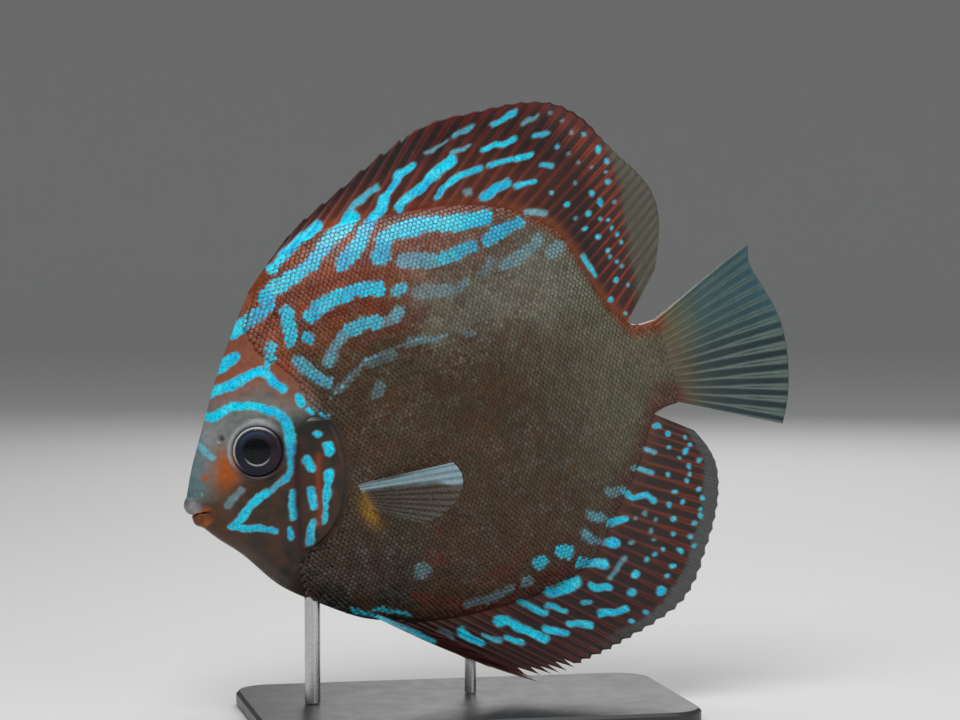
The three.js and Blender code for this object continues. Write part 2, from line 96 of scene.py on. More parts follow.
# Fin roots and margins from front to rear, as (x, z) or (x, z, distance from the mid-plane)
DORSAL_ROOTS = [
    [31, 48.2], [38, 53.2], [48, 57], [58, 58], [67, 57], [76, 56], [85, 54.8], [93, 52.6], [100, 49.4],
    [106, 45.3], [110, 41], [112.6, 35.5], [114.4, 30], [116, 24], [118.2, 18], [122, 12],
]
DORSAL_MARGIN = [
    [34.5, 51.2], [46.3, 60], [60, 66.3], [75, 72.8], [88, 76], [100, 75.5], [110, 74.7], [119, 72],
    [125.5, 66.5], [129.5, 59.5], [133, 53.5], [136, 49], [138.2, 44], [138.8, 38.5], [137.3, 32],
    [133.5, 23.3],
]
ANAL_ROOTS = [
    [41, -43], [46, -45], [52, -46.6], [58.5, -47.7], [66, -48.4], [74, -48.8], [82, -48.6], [89, -47.4],
    [95.5, -44.5], [100.5, -40], [104.5, -35.5], [109, -30.5], [113.5, -25.5], [117.3, -20],
    [120, -15.5], [122.5, -12.6],
]
ANAL_MARGIN = [
    [60, -61], [69, -66.5], [76.9, -69], [82, -69.8], [87, -69], [94, -68.5], [101, -67.3], [109, -65.6],
    [116.5, -62.8], [122, -57.8], [126.5, -51], [130.6, -44.4], [133.6, -37.8], [135.1, -31],
    [134.3, -25.5], [131.9, -20],
]
CAUDAL_ROOTS = [[129.6, 10.6], [129.6, 5], [129.6, -0.5], [129.6, -6.5], [129.6, -11.5]]
CAUDAL_MARGIN = [
    [159.1, 22.6], [158.2, 17.8], [159.6, 12], [161.2, 6.2], [162, 0], [161.6, -7], [160.2, -14],
    [158.2, -20], [155.5, -25.5],
]
PELVIC_ROOTS = [[31.6, -34.5, 2.6], [34.6, -35.4, 3], [37.6, -36, 3.4]]
PELVIC_MARGIN = [
    [73.8, -69.7, 5], [68, -64.6, 5.4], [61.4, -58, 6], [54.6, -51.8, 6.2], [48.2, -46.6, 6],
    [43.6, -42.8, 5.6],
]
PECTORAL_ROOTS = [[38.6, -5.6, 9.4], [39.2, -7.6, 9.4], [40, -9.6, 9.4], [41, -11.4, 9.4]]
PECTORAL_MARGIN = [
    [65, -6, 22], [66.2, -9.4, 22], [65.4, -13, 21.4], [62.8, -16.2, 20.2], [59, -18.4, 18.6],
    [54.4, -19.2, 16.8],
]
FAR_PELVIC_TUCK = 0.55
SWAY_LENGTH = 62
SWAY_REACH = 24
SOFT_NICK = 0.35

# Head
EYE_AT = (20.2, 9.6)
EYE_RADIUS = 6.2
EYE_PROUD = 1.7
NOSTRIL_AT = (12.6, 14.8)
GILL_COVER = [
    [31.2, 11.5], [34, 13.4], [36.8, 13.2], [39.3, 10.8], [40.1, 5], [39.2, -2], [37.6, -7.2],
    [35, -11.8], [31.6, -15.2], [27.6, -17.5], [24.4, -17.6], [25.2, -13], [26.8, -4], [28.6, 3],
]
NECK_LINE = [
    [27, 55], [30.6, 46.8], [34.8, 30], [37.6, 15], [40.6, 11.6], [41.2, 5], [40.3, -2.2], [38.6, -7.6],
    [36, -12.6], [32.2, -16.6], [27.6, -19.2], [21, -22.2], [12, -29],
]
HEAD_END = 46
SNOUT_END = 8
SOCKET_DEPTH = 2.3
NOSTRIL_DEPTH = 0.9
MOUTH_DEPTH = 1.7
UPPER_LIP_RADIUS = 1.35
LOWER_LIP_RADIUS = 1.05
LIP_REACH = 2.5
# Each lip's line from its corner to the mid-plane, as (x, y, z)
LIP_HALVES = [
    [(4.2, 4, -1.6), (2.9, 3.3, -0.8), (1.7, 2, -0.05), (1.25, 0, 0.15)],
    [(4.3, 3.9, -2.7), (3.5, 3.2, -3.4), (2.4, 1.9, -3.8), (2, 0, -3.9)],
]
UPPER_LIP, LOWER_LIP = ([*half, *((x, -y, z) for x, y, z in half[-2::-1])] for half in LIP_HALVES)
# The gill cover's front edge: heights, and the x at each of them
COVER_FRONT = [-18, -13, -4, 3, 11.5], [24.4, 25.2, 26.8, 28.6, 31.2]
COVER_SLIT = [(30.2, 8), (28.2, 2), (26.6, -4.6), (25.2, -11.4), (23.8, -17)]
COVER_STRIPE = [(34.4, 4.2), (33.2, 0.5), (31.8, -4.8), (30.9, -9), (29.6, -12.4)]
COVER_CORNER = [(36.8, 13.4), (38.4, 12), (39.6, 10.2)]
JAW_CREASE = [(4.5, -2.4), (6.4, -4.2), (8.6, -7.4)]
THROAT_CREASE = [(24, -18), (30, -19.4), (35.4, -14.6), (39, -8)]


# Smooth lines and noise

def along(points, shares):
    """Points of a smooth line through the given points, at shares 0 to 1 along them."""
    p = np.asarray(points, float)
    place = np.clip(np.asarray(shares, float), 0, 1) * (len(p) - 1)
    index = np.minimum(place.astype(int), len(p) - 2)
    t = (place - index)[..., None]
    before, start = p[np.maximum(index - 1, 0)], p[index]
    end, after = p[index + 1], p[np.minimum(index + 2, len(p) - 1)]
    leaving, arriving = (end - before) / 2, (after - start) / 2
    cubic = 2 * start - 2 * end + leaving + arriving
    square = -3 * start + 3 * end - 2 * leaving - arriving
    return ((cubic * t + square) * t + leaving) * t + start


def smooth(low, high, value):
    """0 below low, 1 above high and a soft step between."""
    t = np.clip((np.asarray(value, float) - low) / (high - low), 0, 1)
    return t * t * (3 - 2 * t)


def fade(low, high, value):
    """1 below low, 0 above high and a soft step between."""
    return 1 - smooth(low, high, value)


def bump(centre, width, value):
    """1 at the centre, falling away on both sides within about the width."""
    return np.exp(-(((value - centre) / width) ** 2))


def spot(x, z, centre, size, wander=0.0):
    """1 at the centre of an oval spot, falling away within about its size."""
    return bump(0, 1, np.hypot((x - centre[0]) / size[0], (z - centre[1]) / size[1]) + wander)


def distance_to(line, x, z):
    """Distance from each place to a line of points, or to a single point."""
    if len(line) == 1:
        return np.hypot(x - line[0][0], z - line[0][1])
    best = np.full(np.shape(x), 1e9)
    for (ax, az), (bx, bz) in zip(line[:-1], line[1:]):
        length = max((bx - ax) ** 2 + (bz - az) ** 2, 1e-9)
        t = np.clip(((x - ax) * (bx - ax) + (z - az) * (bz - az)) / length, 0, 1)
        best = np.minimum(best, np.hypot(x - ax - t * (bx - ax), z - az - t * (bz - az)))
    return best


def crease(line, width, x, z):
    """1 on a smooth line, falling away within about the width."""
    return bump(0, width, distance_to(along(line, np.linspace(0, 1, 4 * len(line))), x, z))


def between(grid, u, v, ease):
    """A grid of values read between its points, wrapping at its ends. Ease shapes each step."""
    iu, iv = np.floor(u).astype(int), np.floor(v).astype(int)
    fu, fv = ease(u - iu), ease(v - iv)
    across, up = grid.shape
    corner = [[grid[(iu + i) % across, (iv + j) % up] for j in (0, 1)] for i in (0, 1)]
    low, high = (corner[0][j] * (1 - fu) + corner[1][j] * fu for j in (0, 1))
    return low * (1 - fv) + high * fv


NOISE = random.random((64, 64))
NOISE_SHIFT = (17.3, 9.1)


def noise(x, z, size, shift=0.0):
    """Smooth noise from -1 to 1, with blobs about size across. A shift gives other blobs."""
    u, v = x / size + NOISE_SHIFT[0] * shift, z / size + NOISE_SHIFT[1] * shift
    return 2 * between(NOISE, u, v, lambda share: smooth(0, 1, share)) - 1


def to_row(points):
    """From the fish frame in millimetres to the row frame in metres."""
    x, y, z = np.moveaxis(np.asarray(points, float), -1, 0)
    cos, sin = math.cos(NOSE_DOWN), math.sin(NOSE_DOWN)
    return (np.stack([x * cos - z * sin, y, x * sin + z * cos], -1) + SNOUT) * MM


# The body's outline and thickness

def with_rim(points):
    """Outline points along the root of a fin."""
    return [[*point, *FIN_RIM] for point in points]


FINE = np.linspace(0, 1, 2400)
COARSE = FINE[::8]
BACK_LINE = np.vstack([
    along(FOREHEAD + with_rim(DORSAL_ROOTS), FINE),
    along(with_rim(DORSAL_ROOTS[-1:]) + TAIL_TOP, COARSE)[1:],
])
UNDER_LINE = np.vstack([
    along(BELLY[::-1] + with_rim(ANAL_ROOTS), FINE),
    along(with_rim(ANAL_ROOTS[-1:]) + TAIL_UNDER[::-1], COARSE)[1:],
])
OUTLINE = np.vstack([BACK_LINE, along([TAIL_TOP[1], TAIL_UNDER[0]], COARSE)[1:-1], UNDER_LINE[::-1]])
WIDTH_AT = along(HALF_WIDTHS, FINE)


def read_off(line, x, column=1):
    """The height of a line over each x, or another of its columns."""
    return np.interp(x, line[:, 0], line[:, column])


def flank_at(x, z):
    """The flank's distance from the mid-plane at any x and z."""
    top, rim_top, full_top = (read_off(BACK_LINE, x, column) for column in (1, 2, 3))
    low, rim_low, full_low = (read_off(UNDER_LINE, x, column) for column in (1, 2, 3))
    middle = (top + low) / 2
    upper = z > middle
    rim = np.where(upper, rim_top, rim_low)
    fullness = np.where(upper, full_top, full_low)
    offset = np.clip(np.abs(z - middle) / np.maximum((top - low) / 2, 0.1), 0, 1)
    width = np.maximum(read_off(WIDTH_AT, x), rim)
    return rim + (width - rim) * (1 - offset ** SECTION_POWER) ** fullness


def neck_at(z):
    """How far back the bare head reaches at any height."""
    neck = np.array(NECK_LINE)
    return np.interp(-z, -neck[:, 1], neck[:, 0])


# Markings as (width, strength, points) in millimetres: strokes, and round dots.
# Head marks are places on the flank. The others are places as seen from 12 degrees ahead of
# square, so a flank point is first slid by its distance from the mid-plane.
LEAN_BACK = 0.21
LEAN_DOWN = 0.05
HEAD_BLUE = [
    (2.2, 1, [(10, 20.8), (13.5, 20.5), (17.2, 21.6), (21.9, 20.7), (25.4, 18.8), (27.6, 17.3)]),
    (2.6, 0.8, [(27.6, 17.2), (28.9, 14.4), (29, 11), (28, 7)]),
    (1.8, 0.9, [(28, 7), (26.7, 3.2), (24.6, 0.9)]), (1.6, 0.68, [(24.4, 0.8), (20.9, -0.8)]),
    (2, 0.88, [(19.4, -1.2), (17.4, -1.9), (14.6, -3.6), (11.9, -5.6), (9.8, -7)]),
    (2.4, 1, [(12.9, 25.6), (15.2, 26.3), (19.1, 26.9), (22.5, 27.9), (25.6, 28.6), (27.9, 27.2),
        (29.1, 24.6), (30.6, 22.7)]),
    (2.6, 0.9, [(15.6, 30.6), (18.6, 32), (21.8, 33.4)]), (3, 0.95, [(31, 33.6), (30.2, 31.4)]),
    (1.4, 0.85, [(30.2, 31.4), (28.2, 28.6)]), (3, 0.66, [(35.8, 28.4), (38.6, 24.3), (41.6, 21)]),
    (2, 0.95, [(33.9, 19.6), (33.9, 18)]), (1.7, 0.9, [(35.2, 15.9), (35.9, 15)]),
    (1.5, 0.75, [(38, 13.6), (38.9, 12.8)]), (1.7, 0.9, [(35.4, 9.7), (35.8, 9.4)]),
    (2.9, 1, [(37.2, 5.6), (37.2, 4.6)]), (2.2, 0.88, [(31.3, 4.2), (31.6, 1.6)]),
    (2.4, 1, [(35.6, -0.6), (34.9, -3)]), (1.8, 0.9, [(34.5, -3.8), (33, -7.3), (31.2, -11.8)]),
    (2.1, 1, [(30.1, -3.8), (29.8, -7.5)]), (2, 0.9, [(25.7, -3.1), (24.9, -5.6), (24.2, -8.8)]),
    (1.7, 1, [(22.5, -11.9), (22.2, -13.8)]), (2, 0.75, [(28.5, -11.7), (27.6, -13.6), (26.4, -16.2)]),
    (1.9, 0.9, [(9, -7), (12.3, -8.4), (15.8, -9.4), (18.5, -11)]),
    (1.9, 0.46, [(13.8, 1.2), (11.4, -0.4), (9.6, -1.9)]),
    (1.8, 0.6, [(7.2, 14.6), (8.2, 12.7), (9.2, 10.9)]),
]
BACK_BLUE = [
    (3.8, 1, [(23.8, 38.8), (30, 41.3), (34, 42.8), (35.5, 46), (43.8, 48.4), (48, 50), (52, 53),
        (57.5, 56.3), (60.6, 58)]),
    (2.8, 0.95, [(37.5, 51.3), (42.5, 54.4), (48, 56.9), (51.9, 58.6)]),
    (4, 1, [(55.4, 47.8), (58.5, 50), (62.4, 53)]), (2.8, 1, [(62.5, 53.4), (66.9, 57.4), (70, 60.6)]),
    (1.7, 0.7, [(59.4, 58.9), (64.7, 62.4), (69.4, 64)]), (1.8, 0.5, [(90.3, 56.2), (91.6, 56.1)]),
    (1.7, 1, [(70, 60.6), (75, 64.7), (79.4, 66.9)]), (2.4, 1, [(73, 57.5), (80, 61), (90, 65)]),
    (1.8, 0.95, [(83, 57.4), (89, 60.4), (96, 61)]),
    (4.2, 1, [(67.4, 50.8), (73, 51.6), (80, 51), (86, 49.6), (93.8, 48.6)]),
    (4.6, 0.85, [(65, 46.6), (66.2, 47.2)]), (4.2, 0.62, [(71, 44), (77, 42.4)]),
    (3.6, 0.74, [(80, 41.8), (84, 42), (88.3, 42.4)]), (3.6, 0.8, [(92.5, 42.5), (97, 44.4), (101.9, 45)]),
    (3.4, 0.5, [(95.5, 35.6), (100.7, 37), (106, 39.6)]), (3.2, 0.5, [(107.8, 35.4), (110.6, 36.4)]),
    (3.6, 1, [(44, 38), (48.6, 39.5), (53.3, 40.1), (57.9, 40.3), (62.8, 39.4)]),
    (3.4, 0.7, [(67, 37.4), (68.2, 37.7)]), (4, 0.42, [(72.2, 35.4), (79, 33.8)]),
    (3.2, 0.4, [(81.9, 33.3), (84, 34.4)]), (3, 0.36, [(89.2, 35.8), (92.3, 37.6)]),
    (3.6, 0.95, [(38.8, 40), (38.2, 36.6), (37.6, 33.4)]), (3, 0.8, [(42, 32.8), (42.6, 32.2)]),
    (3.2, 0.6, [(45.3, 25.3), (47.9, 28.3), (50.7, 30.8)]),
    (3.6, 0.72, [(53, 31.4), (55.8, 32), (59.9, 31.4)]), (3, 0.5, [(59.9, 31.4), (62.7, 30.8)]),
    (3, 0.6, [(64.9, 31.2), (66.2, 32.5)]),
    (0.6, 0.66, [(43.7, 16.9), (47.8, 19.4), (51.9, 21.6), (55.8, 23.3), (60.2, 23.7), (64.7, 24.5),
        (76.4, 23.1)]),
    (2.6, 0.3, [(45.8, 18.3), (51.7, 21.2)]), (3, 0.34, [(54.7, 22.4), (61.5, 22.5)]),
    (3.4, 0.36, [(54.9, 14.3), (56.6, 15.9)]), (2.2, 0.4, [(66, 24.5), (74.6, 23.2)]),
    (2.4, 0.3, [(80.8, 22.2), (82.4, 21.7)]),
]
DORSAL_BLUE = [
    (1.4, 0.8, [(102.3, 71), (108.6, 72.3)]), (1.5, 1, [(98.2, 65.5), (106.4, 65.7)]),
    (1.3, 0.8, [(111.8, 65), (115.5, 65)]), (1.4, 0.9, [(98.6, 61), (104.5, 61.3)]),
    (1.4, 1, [(105.8, 60.8), (110, 60.8)]), (1.3, 0.8, [(111.4, 57.5), (114.5, 56.7)]),
    (1.5, 1, [(103.6, 53.9), (108.6, 53.9)]), (2.4, 0.9, [(95, 54), (101.8, 55.5)]),
    (2, 0.55, [(104.5, 47), (108.6, 45.5)]), (1.3, 0.8, [(115.7, 32.1), (116.8, 29), (117.5, 26.2)]),
    (1.2, 0.7, [(92, 70.5), (97, 71.8)]), (1.1, 0.6, [(84, 68.5), (90, 70)]),
    (1.2, 0.65, [(90.5, 66.6), (95, 67.6)]), (1.1, 0.6, [(110, 69), (113.5, 69.6)]),
]
DORSAL_DOTS = [
    (1.5, 1, [(122.5, 46.6), (124.3, 43.9), (120, 42.1), (118.4, 38.5), (121.1, 35.3), (122.3, 23.9),
        (119.5, 18.9), (127.3, 57.1), (128.6, 53.9), (115, 46)]),
    (1.2, 0.85, [(112.3, 50), (123, 39.8), (124.8, 39.1), (125.2, 36.4), (126.4, 34.6), (126.6, 32.5),
        (122.3, 31.6), (122.7, 29.8), (124.1, 27.8), (125, 26.2), (125.2, 21.6), (122.3, 14.4),
        (123.6, 12.5), (124.5, 61.6), (127.7, 48.2), (127.5, 50.7), (117.3, 61)]),
    (1.1, 0.6, [(119, 50.7), (116.4, 42.1), (114, 70.3), (117.7, 69.4), (120.5, 66.6), (122, 63.5),
        (127.7, 43.2), (119.3, 58.2), (121.4, 55.3), (124.1, 53)]),
]
ANAL_BLUE = [
    (3, 1, [(68.4, -51.6), (70, -52.4)]), (2.2, 1, [(70, -52.4), (75, -56.9), (78.8, -60)]),
    (1.5, 0.9, [(69, -57), (72.5, -59.4)]), (1.6, 0.95, [(79.4, -57.5), (84.4, -60.3)]),
    (1.6, 0.95, [(85.6, -58.1), (91.3, -60.6)]), (1.9, 1, [(94.4, -58.4), (98, -59.4), (101.6, -59.4)]),
    (1.8, 0.85, [(75.3, -48.8), (80.6, -53.8)]), (1.6, 0.8, [(81.6, -51.9), (85.9, -54.4)]),
    (1.6, 0.8, [(91, -53.8), (93, -54.2)]), (3.3, 1, [(83.8, -48.9), (90.4, -48.5)]),
    (1.9, 0.9, [(94.1, -50.5), (98.8, -53)]), (2.8, 1, [(92.8, -43.8), (98.8, -46.2)]),
    (4.4, 0.95, [(89.6, -39.2), (90.4, -39.6)]), (3.8, 0.85, [(83, -40), (83.8, -40)]),
    (3.4, 0.5, [(78, -43.8), (78.8, -43.8)]), (2.2, 0.6, [(96.3, -36.9), (98, -39.4)]),
    (3, 1, [(102.5, -41.4), (103.1, -41.8)]), (2.6, 0.6, [(98.6, -32.3), (101.9, -34.2)]),
    (2, 0.95, [(103.4, -36.4), (107.6, -36.4)]), (2.8, 0.5, [(105.4, -28.1), (108.9, -29.2)]),
    (1.8, 0.8, [(108.9, -29.6), (111.4, -32.1), (114.7, -32.7), (116.3, -34.5)]),
    (2.4, 0.5, [(98.6, -39.8), (100.8, -40.9)]), (3, 0.55, [(96.2, -36), (96.4, -37)]),
    (1.3, 0.7, [(113.6, -24.5), (117.9, -27.5)]), (1.2, 0.65, [(117.7, -20.7), (119.8, -22.2)]),
    (1.2, 0.8, [(121.6, -16.1), (123.3, -16.2)]), (1.8, 0.55, [(99.5, -50.3), (104.5, -46.2)]),
    (2, 0.95, [(57.9, -51), (58.9, -53), (62, -56)]), (1.4, 0.7, [(63.4, -54), (67.3, -57.3)]),
    (1.6, 0.4, [(52.8, -49.4), (55.5, -52.3)]), (1.6, 0.9, [(33.8, -36.9), (36.6, -39), (39.6, -41)]),
    (1.1, 0.9, [(38.9, -38), (43.4, -41), (47.1, -43)]), (4, 0.46, [(53, -32.4), (54, -32.2)]),
    (2.6, 0.45, [(62, -44.5), (68, -44.9), (74, -44.3)]),
]
ANAL_DOTS = [
    (2.2, 1, [(106.2, -51.4), (104.2, -55.9), (112, -57.8)]),
    (1.5, 1, [(102.3, -63.1), (106.6, -62.3), (110.5, -48.7), (120, -40.8), (128.4, -24.5), (124.8, -18.5),
        (116.6, -52.3), (119.8, -49.4)]),
    (1.25, 0.9, [(114.6, -54.3), (113, -48.2), (115.5, -47.5), (119.1, -44.6), (120.2, -36.6),
        (124.1, -37.1), (122.5, -33.7), (122.2, -29.4), (126.1, -31.7), (127.4, -30.3), (128, -28.5),
        (130.9, -27.9), (126.3, -25.5), (129.8, -23), (129.1, -20.7), (124.1, -22.1), (122.3, -16),
        (128.9, -35.3), (129.1, -37.5), (127.5, -40.5), (127, -42.1), (125, -43.7), (123.4, -46.4),
        (123.9, -48.7)]),
    (1.4, 0.55, [(110.2, -37.5), (113.2, -36.9), (107.5, -42.8), (115.7, -39.4), (113.6, -42),
        (113.6, -44.2)]),
]
PELVIC_BLUE = [
    (2, 1, [(33.9, -36.7), (37.3, -40.1), (40.6, -42.5), (44.7, -45.7), (47.7, -48.2)]),
    (1.4, 1, [(47.7, -48.2), (51, -51)]),
]
RED_LINES = [
    (2, 1, [(66, 55.6), (74, 55.8), (84, 54.2), (92, 52.6)]),
    (2.2, 0.6, [(62, 44), (66, 43), (72, 47.6), (84, 46)]),
    (2.4, 0.8, [(41, 43.8), (50, 44.8), (58, 45), (66, 50)]), (2.6, 0.8, [(31, 36), (34.5, 39), (40, 43)]),
    (2.4, 0.7, [(42, 35.6), (52, 36.6), (62, 36)]), (2.4, 0.55, [(52, 27.6), (62, 28.4), (72, 30)]),
    (2.6, 0.7, [(50, -38.4), (57.5, -42.5), (66, -47.5), (76, -47.5)]),
    (3.6, 0.6, [(56, -30), (58, -29.6)]), (3, 0.5, [(59.4, -24.4), (60.6, -24)]),
    (2.2, 0.5, [(66, -40), (74, -39.4), (80, -36)]), (1.6, 0.6, [(84, -44.4), (90, -44)]),
    (1.4, 0.7, [(94, -50), (100, -48)]),
]


class Sheet:
    """Strengths painted on a side view of the fish and read back at any place on it."""

    STEP = 0.2
    LOW = (-8.0, -78.0)
    SIZE = (182.0, 162.0)

    def __init__(self, marks, wobble, shift, softness):
        self.softness = softness
        self.across = np.arange(0, self.SIZE[0], self.STEP) + self.LOW[0]
        self.up = np.arange(0, self.SIZE[1], self.STEP) + self.LOW[1]
        self.values = np.zeros((len(self.across), len(self.up)))
        for width, strength, points in marks:
            self.stroke(width, strength, points, wobble, shift)

    def stroke(self, width, strength, points, wobble, shift):
        """A smooth brush stroke with an uneven edge."""
        line = np.array(points, float)
        if len(line) > 2:
            line = along(line, np.linspace(0, 1, 6 * len(line)))
        reach = width + 2 * wobble
        low = (line.min(0) - reach - self.LOW) / self.STEP
        high = (line.max(0) + reach - self.LOW) / self.STEP
        i = slice(max(int(low[0]), 0), int(high[0]) + 2)
        j = slice(max(int(low[1]), 0), int(high[1]) + 2)
        x, z = np.meshgrid(self.across[i], self.up[j], indexing="ij")
        x = x + wobble * noise(x, z, 2.6, shift)
        z = z + wobble * noise(x, z, 2.6, shift + 3)
        edge = width / 2 + 0.3 * wobble * noise(x, z, 0.9, shift + 5)
        ink = strength * fade(-self.softness, self.softness, distance_to(line, x, z) - edge)
        self.values[i, j] = np.maximum(self.values[i, j], ink)

    def read(self, x, z):
        """The strength painted at each place."""
        u = np.clip((x - self.LOW[0]) / self.STEP, 0, self.values.shape[0] - 2)
        v = np.clip((z - self.LOW[1]) / self.STEP, 0, self.values.shape[1] - 2)
        return between(self.values, u, v, lambda share: share)


def dotted(groups):
    """Lists of round dots as marks of one point each."""
    return [(width, strength, [place]) for width, strength, places in groups for place in places]


BODY_BLUE = BACK_BLUE + DORSAL_BLUE + ANAL_BLUE + dotted(DORSAL_DOTS) + dotted(ANAL_DOTS)
SIDES = (("left", -1), ("right", 1))
SHEETS = {
    side: {
        "head": Sheet(HEAD_BLUE, 0.3, 2 + side, 0.42),
        "blue": Sheet(BODY_BLUE, 0.5 if side < 0 else 1.1, 5 + side, 0.45),
        "pelvic": Sheet(PELVIC_BLUE, 0.1, 7 + side, 0.35),
        "red": Sheet(RED_LINES, 1.2, 9 + side, 0.8),
    }
    for _, side in SIDES
}


# Colours, given as the eye reads them and turned to linear light

def colour(red, green, blue):
    value = np.array([red, green, blue]) / 255
    return np.where(value > 0.04045, ((value + 0.055) / 1.055) ** 2.4, value / 12.92)


TURQUOISE = colour(0, 210, 242)
DEEP_TURQUOISE = colour(6, 112, 150)
CERULEAN = colour(0, 140, 216)
ICE_BLUE = colour(96, 238, 252)
PALE_BLUE = colour(132, 180, 188)
SNOUT_BLUE = colour(88, 118, 126)
RUST = colour(138, 58, 8)
BRICK = colour(98, 20, 8)
ORANGE = colour(166, 80, 2)
AMBER = colour(158, 112, 4)
JAW = colour(74, 40, 14)
OLIVE = colour(62, 46, 24)
GREY_OLIVE = colour(90, 86, 66)
# Pale grey painted sheen for the flank and the scale centres
PAINTED_SHEEN = colour(136, 138, 128)
# Dark breast and throat, deepened with painted shade where the lower front lies in shadow
SHADED_BREAST = colour(18, 14, 10)
FOREHEAD_GREY = colour(110, 114, 110)
TEMPLE_GREY = colour(150, 152, 156)
# Dark cheek, deepened with painted shade on the lower head
SHADED_CHEEK = colour(30, 29, 24)
COVER_RUST = colour(128, 52, 14)
# Pale upper lip, partly a painted highlight
PALE_LIP_HIGHLIGHT = colour(140, 138, 142)
MOUTH_RED = colour(60, 18, 10)
# The ring round the eye: painted shade on its unlit side and a painted highlight on its lit side
LID_SHADE = colour(46, 34, 44)
LID_HIGHLIGHT = colour(158, 162, 168)
MAROON = colour(84, 18, 12)
SOOT = colour(22, 8, 8)
SMOKE = colour(84, 80, 66)

# Fin colours as (membrane, rays)
DORSAL_DARK = colour(26, 15, 14), MAROON
DORSAL_FRONT = colour(78, 34, 18), colour(122, 46, 24)
DORSAL_REAR = colour(52, 24, 18), colour(140, 50, 22)
DORSAL_BAND = colour(58, 14, 10), colour(98, 24, 14)
DORSAL_CLEAR = SMOKE * 0.75, SMOKE * 1.25
ANAL_DARK = colour(32, 14, 14), MAROON
ANAL_REAR = colour(44, 30, 24), colour(112, 44, 26)
ANAL_CLEAR = colour(36, 40, 42), colour(80, 82, 82)
PELVIC_DARK = colour(40, 16, 18), MAROON
PECTORAL_CLEAR = colour(70, 66, 60), colour(112, 112, 108)
PECTORAL_PALE = colour(130, 158, 168), colour(156, 180, 190)
CAUDAL_GREY, CAUDAL_RAY = colour(56, 84, 86), colour(112, 126, 116)
CAUDAL_LOWER, CAUDAL_TEAL = colour(14, 34, 42), colour(40, 86, 104)
CAUDAL_OLIVE, CAUDAL_BROWN = colour(104, 100, 58), colour(96, 74, 48)
PELVIC_PINK, PELVIC_ICE = colour(128, 84, 72), colour(170, 226, 240)

# Eye colours, with painted reflections, a painted highlight and painted shade
# The pale crescent is a painted reflection
PUPIL, CRESCENT_REFLECTION = colour(2, 5, 10), colour(212, 214, 220)
# The blue on the iris's upper side is a painted reflection
IRIS, IRIS_WARM, IRIS_BLUE_REFLECTION = colour(20, 24, 38), colour(40, 26, 34), colour(70, 84, 110)
# The silvery rim: a painted highlight on its lit side and painted shade on the other
SILVER_RIM_HIGHLIGHT, EYE_SHADE = colour(206, 204, 204), colour(40, 32, 40)


def mixed(base, other, weight):
    """The base with another colour laid over it by a weight from 0 to 1."""
    return base + (other - base) * np.clip(weight, 0, 1)[..., None]


def layered(base, *layers):
    """A base colour under layers of (colour, weight), laid on in turn."""
    for other, weight in layers:
        base = mixed(base, other, weight)
    return base


def inked(paint, x, z, blue, shift, faint, gap=0.0):
    """Blue marks over the paint: bright where a mark is strong, pale where it fades.

    Faint is the cover of the weakest marks, and a gap thins them between scales.
    """
    shade = 0.5 + 0.5 * noise(x, z, 1.6, shift)
    strong = layered(
        TURQUOISE,
        (CERULEAN, 0.4 * smooth(-0.2, 0.6, noise(x, z, 5, shift))),
        (ICE_BLUE, 0.4 * smooth(0.1, 0.7, noise(x, z, 3, shift + 2)) * smooth(0.9, 1, blue)),
    )
    ink = layered(
        PALE_BLUE,
        (strong, smooth(0.45, 0.8, blue)),
        (DEEP_TURQUOISE, 0.5 * shade * smooth(0, 1, 1.15 - blue)),
    )
    return mixed(paint, ink, smooth(0.02, 0.7, blue) * (faint + (1 - faint) * blue) * (1 - gap))


def skull_colour(x, z, soft):
    """The bare head: grey forehead, rusty nape, blue-grey snout, orange lores, and a dark cheek and throat
    deepened with painted shade.
    """
    brown = bump(0.3, 0.5, noise(x, z, 3.2, 31)) + 0.5 * bump(0.3, 0.4, noise(x, z, 1.1, 33))
    return layered(
        FOREHEAD_GREY,
        (RUST, smooth(19, 30, z + 2 * soft) * 0.75),
        (RUST, smooth(24, 34, x) * smooth(14, 22, z) * 0.6),
        (TEMPLE_GREY, spot(x, z, (9, 16.5), (4.5, 3.2), 0.3 * soft) * 0.6),
        (OLIVE * 1.2, fade(0, 7, z + 1.5 * soft) * 0.7),
        # The lower cheek: dark, deepened with painted shade
        (SHADED_CHEEK, fade(2, 9, z + 1.5 * soft) * smooth(7, 13, x)),
        (SHADED_CHEEK, smooth(24, 29, x) * fade(12, 18, z)),
        # The throat: dark, deepened with painted shade
        (SHADED_BREAST, fade(-19, -12, z + soft)),
        (JAW * 1.1, brown * 0.5 * fade(4, 14, z) * smooth(6, 12, x)),
        (SNOUT_BLUE, fade(2.6, 6.4, x - 0.25 * z + 1.2 * soft) * smooth(-1, 4, z) * 0.85),
        (ORANGE * 0.8, spot(x, z, (11, 5.6), (3.3, 3.8), 0.3 * soft) * 0.9),
        (ORANGE, spot(x, z, (12.4, 8), (2.6, 3.8), 0.3 * soft)),
        (ORANGE, spot(x, z, (6.2, 6.4), (0.9, 0.9)) * 0.9),
        (JAW, fade(-1, 1.2, z) * fade(8, 14, x + soft)),
    )


